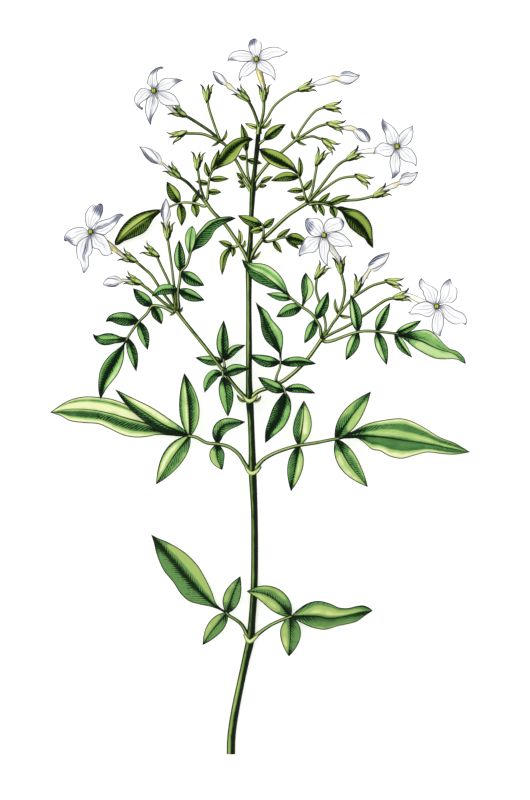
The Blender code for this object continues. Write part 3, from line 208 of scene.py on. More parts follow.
# Shoots: an axis, its width, flower stalks, bracts, and calyxes as (base, aim). A stalk's first
# point lies on the axis or on another stalk, so that nothing in a shoot hangs loose.
SHOOTS = {
    "left_shoot": {
        "axis": [(249.5, 401, 6.8), (243, 395, 7.1), (234, 385, 7.4), (222.8, 370, 7.9),
                 (205.5, 347.4, 8.8), (185, 322, 9.8), (175.7, 309.5, 10.3)],
        "width": 3.7,
        "stalks": [
            [(176, 310, 10.3), (163.2, 293.3, 10.9), (152, 276, 11.4), (144, 268.5, 11.5),
             (134.6, 260.6, 11.5)],
            [(176, 310, 10.3), (165, 303.5, 10.2), (150, 290.7, 10), (139.7, 283, 9.8)],
            [(176, 310, 10.3), (172.3, 293.3, 11.3), (168.3, 281, 12), (161, 265.7, 12.6),
             (156.5, 255.3, 13)],
            [(176, 310, 10.3), (175, 292, 10.9), (173.4, 280, 11.3), (171.8, 266.7, 11.7),
             (167.8, 238.2, 12.4)],
        ],
        "bracts": [
            ([(177, 312, 10.3), (180.5, 311, 10.4), (183, 306.5, 10.3)], 3),
            ([(175.7, 311, 10.5), (172.5, 314, 10.6), (169.3, 315.5, 10.6)], 3),
        ],
        "calyxes": [
            ((134.6, 260.8, 11.5), (120.5, 254.5, 12.1)), ((139.6, 283, 9.8), (129, 279.5, 10)),
            ((156.5, 255.2, 13), (138.5, 245.5, 13.6)), ((167.6, 237.5, 12.4), (167.5, 226, 13.2)),
        ],
    },
    "right_shoot": {
        "axis": [(249, 400.5, 6.8), (257.6, 391.8, 7.1), (269, 387.5, 7.5), (283, 381, 8), (297, 370, 8.5),
                 (309, 357, 9), (322.5, 338, 9.8)],
        "width": 4,
        "stalks": [
            [(321.5, 339.5, 9.8), (328, 331, 10.2), (333, 323, 10.5), (338, 316, 10.8),
             (343.5, 300, 11.2), (344.5, 288, 11.3), (341, 272, 11.2)],
            [(338, 316, 10.8), (345, 307, 11), (352.5, 297.5, 11.2), (356.5, 290.5, 11.3)],
            [(352.5, 297.5, 11.2), (360, 293, 11.1), (372, 285.8, 11), (388, 281.2, 10.8)],
            [(321.5, 339.5, 9.8), (325.6, 328, 9.6), (323.5, 313.5, 9.5), (316.3, 291.8, 9.4),
             (317, 277, 9.3)],
            [(321.5, 339.5, 9.8), (330, 334.5, 9.8), (350, 324.5, 10), (365.5, 314, 10.2),
             (384, 301, 10.6), (394.5, 297.8, 10.7)],
        ],
        "bracts": [
            ([(338.5, 315, 10.9), (335.5, 306, 11.4), (335, 298, 11.6)], 4),
            ([(339, 315.5, 10.8), (345.5, 317, 10.6), (351.5, 317, 10.4)], 4),
        ],
        "calyxes": [
            ((341, 272, 11.2), (339, 259.5, 11.9)), ((356.5, 290.2, 11.3), (360, 277.5, 11.9)),
            ((388, 281, 10.8), (403, 284, 10.9)), ((316.7, 276.7, 9.3), (324, 265, 9.3)),
            ((395, 297.6, 10.7), (409.5, 294.5, 11.3)),
        ],
    },
    "high_left_shoot": {
        "axis": [(248.5, 261, 9.9), (243, 250.5, 10.2), (234.5, 237.7, 10.4), (224.6, 223.8, 10.6),
                 (213, 212, 10.9), (204.5, 200.3, 11.2)],
        "width": 3.6,
        "stalks": [
            [(205.3, 201.4, 11.2), (198.8, 194.8, 11.4), (188, 183.2, 11.8), (179, 177, 12)],
            [(205.3, 201.4, 11.2), (201.4, 190.4, 12.2), (199.6, 181.4, 13.2), (197.7, 168, 14)],
        ],
        "bracts": [
            ([(239.5, 245.5, 10.3), (240.5, 236, 11.4), (238.5, 229, 11.8)], 5),
            ([(241, 248, 10.2), (244.2, 245, 10.8), (245, 240, 11)], 4),
        ],
        "calyxes": [
            ((178.7, 176.7, 12), (166.5, 166.5, 12.6)), ((197.3, 167.5, 14), (198, 152.5, 14.5)),
        ],
    },
    "high_right_shoot": {
        "axis": [(249.3, 261, 9.9), (255, 249.5, 10.1), (262.3, 239.7, 10.3), (269.5, 232.8, 10.5),
                 (287.3, 216.3, 10.9), (298, 209, 11.1), (308, 202.5, 11.3)],
        "width": 3.8,
        "stalks": [
            [(307, 203.2, 11.3), (312.3, 190.4, 11.7), (314.6, 178, 12.2), (317.2, 163.6, 12.7)],
            [(307, 203.2, 11.3), (318.6, 189.5, 11.8), (333, 170.7, 12.3), (340, 163.6, 12.4),
             (348.3, 159, 12.5)],
            [(307, 203.2, 11.3), (323, 190, 11.1), (340, 178.8, 11), (357.5, 176.1, 11)],
            [(307, 203.2, 11.3), (313, 202, 10.9), (325, 202.5, 10.3), (345.4, 200.6, 10.3),
             (360.5, 199.3, 10.5), (375, 195.7, 11)],
        ],
        "bracts": [],
        "calyxes": [
            ((317.1, 163.5, 12.7), (322.5, 151.5, 13.1)), ((348.3, 159, 12.5), (359, 152.5, 13.2)),
            ((357.8, 176, 11), (372, 183, 11)), ((375, 195.8, 11), (386, 190, 11.6)),
        ],
    },
    "crown_left_cyme": {
        "axis": [(252.5, 189, 11.3), (248.8, 183, 11.6), (243.4, 174.3, 11.9), (236.3, 161, 12.2),
                 (226.4, 146.3, 12.5), (219.5, 141, 12.7)],
        "width": 3,
        "stalks": [
            [(220.5, 141.7, 12.7), (210.6, 132, 12.9), (192.2, 119.8, 13.1), (185, 115.7, 13.2)],
            [(220.5, 141.7, 12.7), (210.6, 137, 12.4), (201.4, 134, 12.1), (184, 133.4, 12)],
            [(220.5, 141.7, 12.7), (215.7, 129, 13.1), (209.5, 110.5, 13.4), (207.3, 100, 13.5)],
        ],
        "bracts": [
            ([(221, 142, 12.8), (225.5, 136.5, 13.2), (226.6, 129.5, 13.4)], 3.5),
            ([(220, 141.7, 12.7), (215.5, 144.5, 12.8), (211.5, 146.8, 12.8)], 3),
        ],
        "calyxes": [
            ((184.5, 115.6, 13.2), (176, 111.5, 13.8)), ((184, 133, 12), (168, 140.5, 12)),
            ((207, 99.7, 13.5), (206.5, 82, 14)),
        ],
    },
    "crown_right_cyme": {
        "axis": [(253.5, 187, 11.4), (256.5, 178.8, 11.7), (268.6, 163.6, 12), (282, 152, 12.3),
                 (296, 140, 12.6)],
        "width": 3,
        "stalks": [
            [(295, 140.8, 12.6), (302.7, 127, 12.9), (315, 111.6, 13.2), (326.4, 107.3, 13.3)],
            [(295, 140.8, 12.6), (308.8, 132, 12.6), (318, 126.8, 12.6), (329.4, 123.8, 12.6)],
            [(295, 140.8, 12.6), (310.8, 136.6, 12.3), (318, 138.2, 12.1), (324.1, 140.3, 12)],
        ],
        "bracts": [
            ([(295.5, 140.5, 12.6), (292.5, 136, 13), (291.5, 130.5, 13.2)], 3.5),
            ([(296, 140.3, 12.6), (301.5, 143.8, 12.5), (307, 145.4, 12.4)], 3.5),
        ],
        "calyxes": [
            ((326.4, 107.3, 13.3), (338.5, 107, 13.5)), ((329.4, 123.7, 12.6), (342.5, 126.5, 12.8)),
            ((324.1, 140.3, 12), (336, 148.5, 12)),
        ],
    },
    "top_cyme": {
        "axis": [(258.5, 134, 12.45), (259, 129.6, 12.7), (259.4, 127.5, 12.75)],
        "width": 4.2,
        "stalks": [
            [(259.2, 128.8, 12.7), (256.4, 118.8, 13), (252.4, 108.6, 13.3), (247.7, 100, 13.5)],
            [(259.2, 128.8, 12.7), (262.7, 116.7, 13), (263.9, 107, 13.2), (263.8, 100.2, 13.3)],
            [(259.2, 128.8, 12.7), (266, 120, 12.7), (275, 105.5, 12.8), (289.4, 94.3, 13),
             (300, 89.9, 13)],
        ],
        "bracts": [
            ([(258.8, 128.5, 12.8), (251.5, 126.2, 13.2), (244.8, 123.6, 13)], 5.5),
            ([(260, 128.5, 12.8), (267, 126, 13.4), (271.8, 118.4, 13.7)], 4),
        ],
        "calyxes": [
            ((247.5, 99.8, 13.5), (236.5, 90.5, 14)), ((263.7, 100, 13.3), (263.4, 84.5, 14)),
            ((300, 89.8, 13), (313.5, 84.8, 13.4)),
        ],
    },
}

# How much deeper the colour of some flower stalks is, by shoot and number. Half of it, in mm, is
# added to their radius.
STALK_TONES = {
    "crown_left_cyme": {0: 0.24, 1: 0.16}, "top_cyme": {0: 0.24, 1: 0.2}, "high_left_shoot": {0: 0.24},
    "crown_right_cyme": {1: 0.1}, "high_right_shoot": {1: 0.14, 3: 0.12},
    "left_shoot": {0: 0.1, 1: 0.18}, "right_shoot": {0: 0.16, 2: 0.1, 4: 0.14},
}

# Leaves: what each grows from, its stalk's radius in mm, the stalk, and its leaflets as
# (midrib path, width), with the place of the greatest width along it and the sharpness of
# its ends where they aren't the usual ones.
LEAVES = {
    "low_left_leaf": ("main_stem", WIDE_STALK,
        [(249, 640, 2.4), (243, 627, 3.2), (237, 621, 3.8), (229, 616, 4.2), (226, 612.5, 4.4)], [
        ([(227, 613.3, 4.4), (213, 604.5, 5.1), (193.5, 585.5, 5.5), (171.5, 560, 3.8),
          (150.6, 534.5, 0.5)], 29, 0.5, 1.1),
        ([(227.4, 613, 4.35), (213, 630, 3.9), (202.5, 645.5, 2.4)], 16),
        ([(226.8, 613.7, 4.45), (233, 594, 5.3), (240.3, 576.5, 5)], 17),
    ]),
    "low_right_leaf": ("main_stem", WIDE_STALK,
        [(251.5, 640, 2.4), (261, 632, 3.2), (270.5, 625.5, 3.9), (280, 621, 4.5), (291.5, 616.5, 5)], [
        ([(290.7, 616.8, 5), (305, 616.5, 5.6), (318, 616.7, 5.6), (329, 618.7, 5), (341, 617.4, 4),
          (359, 613.5, 1.9), (373, 611.4, 0.5)], 29, 0.4, 1.25),
        ([(291, 616.8, 5), (280, 604, 6), (270.5, 596.5, 6.6), (260, 592.7, 6.7), (246.8, 591.5, 6.1)], 22),
        ([(290.5, 616.2, 4.95), (290.4, 637, 4), (289, 657, 2)], 21),
    ]),
    "second_left_leaf": ("main_stem", WIDE_STALK,
        [(251, 473, 5.3), (244, 462.5, 5.9), (238.5, 454, 6.3), (229, 447, 6.6), (217.5, 444, 6.8),
         (206.5, 442.8, 6.9), (196.5, 437.5, 6.9), (188, 435.8, 6.9)], [
        ([(217.5, 444, 6.8), (218.5, 432, 7), (226, 424.5, 7), (245.3, 421.9, 6.2)], 14),
        ([(217, 444, 6.8), (217.3, 458, 6.4), (222.2, 470, 5.4)], 15.5),
        ([(190, 436, 6.9), (189, 405, 7.4), (184.2, 373, 6)], 20.5),
        ([(189.8, 436, 6.9), (173, 457, 6), (156, 484.5, 3.4)], 21),
        ([(191, 436, 6.9), (168.5, 430.5, 6.7), (146, 423.5, 6), (129, 419, 5.2), (112, 414, 4.3),
          (94, 410.3, 3.3), (76, 409, 2.2), (60.5, 410, 1.1), (49.3, 412.5, 0.5)], 31, 0.64, 0.8),
        ([(189, 435.6, 7.1), (166, 426, 8), (146, 413, 8), (130, 402, 7), (115.2, 389.5, 5.6)], 17),
    ]),
    "second_right_leaf": ("main_stem", WIDE_STALK,
        [(254, 470.5, 5.3), (263, 460, 6), (274, 453.5, 6.5), (286, 449, 6.8), (299, 445.5, 7),
         (316.5, 442.7, 7), (332, 439.6, 7), (339, 438.6, 7)], [
        ([(299, 445.5, 7), (303, 422, 7.3), (304, 400.6, 6.3)], 18.5),
        ([(299, 445.5, 7), (295, 468, 6.2), (291, 491.4, 4.2)], 16),
        ([(335.5, 439.2, 7), (353, 414, 7.2), (371, 391.5, 5.6)], 19),
        ([(336, 439.2, 7), (349.5, 464.5, 6), (367.8, 487, 3.6)], 20),
        ([(337, 439, 7), (350, 436.5, 7), (366, 436, 6.9), (385, 437.5, 6.3), (405, 440.5, 5.2),
          (431, 444.5, 3.2), (454, 449.3, 1.3), (471, 452.3, 0.5)], 41, 0.45, 1.35),
    ]),
    "left_shoot_back_leaf": ("left_shoot", SMALL_STALK,
        [(224.5, 368, 6.8), (224.4, 364, 6.2), (223.5, 359, 5.8)], [
        ([(223.6, 360.5, 5.8), (222.5, 340, 6.3), (223.7, 320.2, 5.2)], 12.5),
        ([(223.9, 360.5, 5.8), (234, 349.5, 5.8), (245.5, 345, 5)], 9),
        ([(223.9, 361, 5.8), (210, 360.5, 5.3), (195.2, 357.5, 4.4)], 10),
    ]),
    "left_shoot_front_leaf": ("left_shoot", SMALL_STALK,
        [(222.6, 371, 9.6), (222.8, 374, 10), (223.1, 377.5, 10)], [
        ([(222.9, 374.5, 10), (236, 369.3, 10.6), (249.3, 368.5, 10)], 11.5),
        ([(222.9, 374.5, 10), (215.5, 374, 10.3), (208.5, 381, 9.6), (204.5, 392.7, 8.2)], 11),
        ([(223, 376, 10), (226.5, 396, 10.1), (228, 416.6, 8.9)], 14.5),
    ]),
    "left_shoot_outer_leaf": ("left_shoot", LEAF_STALK,
        [(172.8, 311.6, 9.3), (165, 307.8, 8.9), (160, 306.2, 8.7), (152, 306, 8.4), (147, 313.5, 8),
         (138.5, 322, 7.7), (130.5, 333, 7.2), (126, 340.5, 7)], [
        ([(152.5, 306, 8.4), (141.5, 297.5, 7.6), (133, 288.3, 6.6)], 12),
        ([(152.5, 305.8, 8.4), (158, 315.5, 8.2), (161.6, 324.3, 7.4)], 11),
        ([(139, 321.5, 7.7), (125, 319, 7.6), (112, 318.2, 6.8), (105.4, 321.6, 6.3)], 14),
        ([(139, 321.5, 7.7), (144, 336, 7.3), (147.6, 349.8, 6.2)], 11),
        ([(128, 338.5, 7.1), (112, 339.6, 6.6), (101, 339.3, 6.1), (92.4, 333.2, 5.6)], 13.5),
        ([(127.7, 338, 7.1), (133, 355, 6.5), (136.1, 371.5, 5.3)], 10),
        ([(126.8, 339.3, 7), (119, 354.5, 7.2), (110, 369.5, 7.2), (103.6, 383, 7), (100.5, 399.5, 6.5)],
         20),
    ]),
    "left_shoot_inner_leaf": ("left_shoot", LEAF_STALK,
        [(178.8, 307.5, 11.6), (178, 298.5, 12.7), (178.5, 288.5, 13.4), (180, 280, 13.8), (181, 272, 14),
         (186.6, 265.7, 14.2), (189.7, 256.5, 14.3), (190.8, 251.5, 14.3)], [
        ([(178.4, 290, 13.4), (163, 289.8, 13.6), (151.9, 296.3, 13.2)], 11),
        ([(178.4, 290, 13.4), (192, 296, 12.8), (204.5, 300.4, 11.6)], 12),
        ([(181, 272.5, 14), (179.6, 256, 14.5), (179.3, 240.2, 14.2)], 11.5),
        ([(181, 272.5, 14), (192, 279.5, 13.5), (204.3, 285.7, 12.4)], 13),
        ([(189.7, 256, 14.3), (190.2, 241, 15.2), (192.4, 226.2, 15)], 11, 0.6, 0.62),
        ([(190.4, 253.5, 14.3), (198, 238, 14.8), (206, 229, 14.9), (215.7, 221.6, 14.7),
          (226.5, 219, 14.4), (236.3, 218.5, 13.9)], 16),
    ]),
    "right_shoot_upper_leaf": ("right_shoot", SMALL_STALK,
        [(276, 380.3, 9), (277, 375, 9.5), (280, 367, 10), (280.8, 358, 10.2)], [
        ([(280.7, 360, 10.2), (277, 343, 10.6), (270, 328, 10.7), (262, 312, 10.3), (255.2, 301.3, 9.6)],
         20),
        ([(280.4, 362.5, 10.2), (265, 361, 10.7), (248.6, 355, 10.2)], 12),
        ([(280.2, 363, 10.2), (300, 361.5, 10.7), (316.2, 363.8, 10.2)], 10.5),
    ]),
    "right_shoot_lower_leaf": ("right_shoot", SMALL_STALK,
        [(280, 385, 9.1), (284, 388, 9.4), (285.6, 394, 9.5)], [
        ([(285.2, 392, 9.5), (284, 403, 9.6), (278, 420, 9.2), (270.5, 432, 8.6), (265.2, 443, 7.6)], 19),
        ([(284.6, 389.5, 9.4), (300, 388.4, 9.5), (315.5, 393.4, 8.7)], 9.5),
        ([(285, 391.5, 9.5), (271, 385.5, 10), (258, 377, 9.6)], 12),
    ]),
    "right_shoot_inner_leaf": ("right_shoot", LEAF_STALK,
        [(321.2, 335.3, 11), (320, 327, 11.6), (315.8, 319.5, 12), (310.6, 312.8, 12.2), (302, 307, 12.4),
         (296, 302.3, 12.5), (289.5, 297, 12.6)], [
        ([(315.8, 319.5, 12), (323, 306, 12.5), (328.3, 291.8, 12.1)], 11.5),
        ([(315.8, 319.5, 12), (310.5, 332, 11.8), (304.4, 343.4, 11)], 11),
        ([(302, 307, 12.4), (307, 293, 12.8), (306.8, 283, 12.8), (305.8, 272.1, 12.5)], 13),
        ([(302, 307, 12.4), (289, 310.5, 12.4), (276.3, 317, 11.7)], 13),
        ([(292, 299, 12.5), (279, 296.5, 12.7), (266.4, 293.7, 12.3)], 8.5),
        ([(291, 298.2, 12.5), (278, 286.5, 13), (262, 274.2, 13.2), (251.3, 268.8, 12.9),
          (241.5, 259, 12.3)], 24),
    ]),
    "right_shoot_outer_leaf": ("right_shoot", LEAF_STALK,
        [(325, 341.5, 9.3), (330, 341.2, 9.7), (336, 339.5, 10), (345, 336, 10.5), (352, 333.6, 10.8),
         (358, 332, 11), (366, 331, 11), (377, 331.5, 10.9), (387, 332.5, 10.6), (398, 334, 10.2)], [
        ([(358, 332, 11), (355.5, 313, 12.6), (350.5, 294.3, 12.9)], 12),
        ([(358, 332, 11), (352, 347, 10.4), (345.9, 360.3, 9.2)], 12),
        ([(376.5, 331.5, 10.9), (383, 316, 11.9), (390, 303, 12.5)], 10.5),
        ([(376.5, 331.5, 10.9), (382, 348.5, 10.2), (386.9, 365, 8.8)], 12),
        ([(395.5, 333.7, 10.3), (409, 327.3, 10.6), (421.4, 320.5, 10.2)], 9),
        ([(395, 333.7, 10.3), (402, 346, 9.6), (412, 357.5, 8.4)], 9),
        ([(396.5, 333.8, 10.2), (413, 338.6, 9.8), (422.4, 341.4, 9.3), (432, 346.2, 8.2),
          (441.5, 350, 6.8), (454, 353.8, 4.4), (466.4, 364, 0.6)], 27),
    ]),
    "high_left_small_leaf": ("high_left_shoot", SMALL_STALK,
        [(235.5, 247, 10.1), (233.5, 246.6, 10), (231.5, 246.8, 10)], [
        ([(232.8, 246.7, 10), (226, 243.8, 9.9), (218.5, 241, 9.3)], 6.5),
        ([(232.3, 246.8, 10), (224, 257, 9.5), (222, 275.5, 8.4)], 7.5),
        ([(232.8, 246.6, 10), (233.4, 252, 9.8), (232.3, 257, 9.5)], 5),
    ]),
    "high_left_outer_leaf": ("high_left_shoot", SMALL_STALK,
        [(204, 206.3, 10.3), (198, 204.2, 10.2), (193, 203, 10), (185.4, 202.4, 9.6), (180, 203, 9.3),
         (174.6, 204.6, 8.9), (168, 207.5, 8.3), (160, 211, 7.7)], [
        ([(193, 203, 10), (197, 195.5, 9.7), (199.2, 189, 9.2)], 6.5),
        ([(193, 203, 10), (195.6, 210, 9.8), (196.5, 217.6, 9.2)], 8.5),
        ([(179.5, 203.2, 9.2), (172.5, 192, 9.3), (166.8, 181.5, 8.7)], 12),
        ([(180, 203, 9.3), (181.6, 215, 9.2), (181.6, 226, 8.6)], 9.5),
        ([(162, 210, 7.8), (147, 217.4, 6.8), (136.6, 224, 5), (126.4, 232.2, 2.8), (114.8, 245, 0.5)], 16),
    ]),
    "high_left_inner_leaf": ("high_left_shoot", SMALL_STALK,
        [(207.6, 198.2, 12.2), (207.9, 190.4, 12.4), (209, 181.4, 12.6), (210.8, 174.3, 12.8),
         (214, 168.5, 12.9)], [
        ([(207.8, 192.5, 12.4), (214.5, 192, 12.5), (221.3, 192.3, 12.2)], 6.5),
        ([(208.7, 184.3, 12.5), (202, 182.5, 12), (195.5, 181.5, 11.3)], 6),
        ([(209.2, 180, 12.6), (219, 179, 12.8), (229, 179, 12.4)], 6.5),
        ([(209.8, 177.5, 12.7), (206.4, 169, 12.9), (205.3, 161.8, 12.5)], 6),
        ([(211.6, 172.5, 12.8), (216.2, 160, 13.3), (219.2, 149.5, 13.3)], 7.5),
        ([(213.3, 170, 12.8), (221, 161.7, 13.9), (228.5, 153, 14.7), (236.3, 146.2, 14.9),
          (245, 141.4, 14.8), (253.7, 139.8, 14.4)], 15.5),
    ]),
    "high_right_front_leaf": ("high_right_shoot", SMALL_STALK,
        [(263, 237.3, 11.7), (263.6, 230.5, 12.1), (262, 223.5, 12.3)], [
        ([(262.4, 225.2, 12.2), (250, 221, 12.6), (237.8, 215.5, 12.3)], 10.5),
        ([(263.4, 229.5, 12.1), (255.5, 230.5, 12.4), (248.7, 232.8, 12.2)], 7),
        ([(263.2, 228, 12.2), (269, 223.5, 12.5), (274.7, 218, 12.3)], 7.5),
    ]),
    "high_right_small_leaf": ("high_right_shoot", SMALL_STALK,
        [(266, 241.8, 9.5), (273, 240.6, 9.3), (279.3, 238.3, 9.2), (288, 237, 9)], [
        ([(276.5, 239.3, 9.2), (284, 233.2, 9.2), (290.6, 228.3, 8.9)], 6),
        ([(273, 240.6, 9.3), (277.5, 247, 9), (281.8, 253, 8.5)], 6),
        ([(286, 237.3, 9), (296, 239, 8.8), (308, 243, 8.2)], 12),
        ([(285.5, 237.3, 9), (292, 242.5, 8.6), (299, 249, 8)], 6),
    ]),
    "high_right_inner_leaf": ("high_right_shoot", SMALL_STALK,
        [(306.2, 200.2, 12.3), (303.4, 190.4, 12.9), (300.7, 181.4, 13.3), (297.4, 173.5, 13.6)], [
        ([(305.8, 198.5, 12.4), (300, 198.6, 12.6), (294, 198, 12.3)], 6),
        ([(303.6, 191, 12.8), (295, 190.7, 12.9), (286.8, 191.5, 12.5)], 6),
        ([(303.6, 190.8, 12.9), (308.6, 185, 13.5), (312.3, 179.5, 13.7)], 6.5),
        ([(299, 177.5, 13.4), (285, 177, 13.9), (271, 181, 13.5)], 10),
        ([(299.5, 178.5, 13.4), (300.5, 167, 13.9), (299, 156.5, 13.7)], 5.5),
        ([(298, 175, 13.5), (290, 167, 14), (282, 162.2, 14.3), (273, 157.3, 14.4), (264, 152.5, 14.3),
          (258.9, 149.3, 14)], 15),
    ]),
    "high_right_outer_leaf": ("high_right_shoot", SMALL_STALK,
        [(310.2, 204.6, 12.6), (316, 204, 12.4), (323, 204, 12.2), (329.3, 205.7, 11.9),
         (338, 208.3, 11.3)], [
        ([(312, 204.4, 12.5), (315, 208.5, 12.4), (316.6, 213.5, 12)], 5),
        ([(318.5, 204, 12.3), (322, 210.5, 12.1), (324, 216.4, 11.6)], 6),
        ([(330.5, 206, 11.8), (333.8, 211.5, 11.2), (335.5, 218, 10.6)], 8),
        ([(318, 204, 12.3), (325, 197.8, 12.5), (330.2, 192.6, 12.3)], 6),
        ([(327, 205, 12), (339, 199.8, 12.3), (350.5, 195, 12.1)], 7.5),
        ([(336.5, 207.8, 11.4), (347, 215.4, 10.2), (356, 220.7, 8.4), (363.2, 228, 5.6), (368.6, 237, 2.6),
          (373.5, 248.2, 0.5)], 20),
    ]),
    "crown_left_leaf": ("main_stem", SMALL_STALK,
        [(250.5, 190.5, 10.6), (246, 185, 10.1), (242.4, 179, 9.9)], [
        ([(242.9, 180, 9.9), (240, 176, 9.9), (236.3, 172.5, 9.7)], 5),
        ([(244.4, 182.4, 10), (241, 181.8, 10), (237.5, 181.2, 9.8)], 4.5),
        ([(246, 185, 10.1), (242.5, 186.2, 10), (239, 187.2, 9.8)], 4.5),
    ]),
    "crown_middle_leaf": ("main_stem", SMALL_STALK,
        [(250.5, 183.5, 10.1), (247.8, 174, 10), (247.1, 163, 10.2), (246.5, 150, 10.7)], [
        ([(246.6, 152, 10.6), (244.7, 137, 11.3), (241.2, 123.5, 11.1)], 8),
        ([(247, 159, 10.3), (242.5, 157.5, 10.3), (238, 156, 10.1)], 6),
        ([(247, 160, 10.3), (255, 161.7, 9.7), (262, 163.5, 9.2)], 6.5),
    ]),
    "crown_right_leaf": ("main_stem", SMALL_STALK,
        [(255.5, 189.5, 10.4), (258.5, 186, 10.2), (261, 182.3, 10.2)], [
        ([(260.5, 183, 10.2), (266, 179.6, 10.2), (273, 176.5, 9.9)], 5.5),
        ([(258.5, 186, 10.2), (262.5, 186, 10.1), (267, 185.3, 9.9)], 4.5),
    ]),
    "top_leaf": ("main_stem", SMALL_STALK,
        [(258, 144.5, 12.3), (262, 141.8, 12.6), (265, 139.3, 12.9)], [
        ([(264, 140.2, 12.8), (270, 135, 13.4), (279, 128.3, 13.9), (285.7, 124.5, 13.8)], 11),
    ]),
}
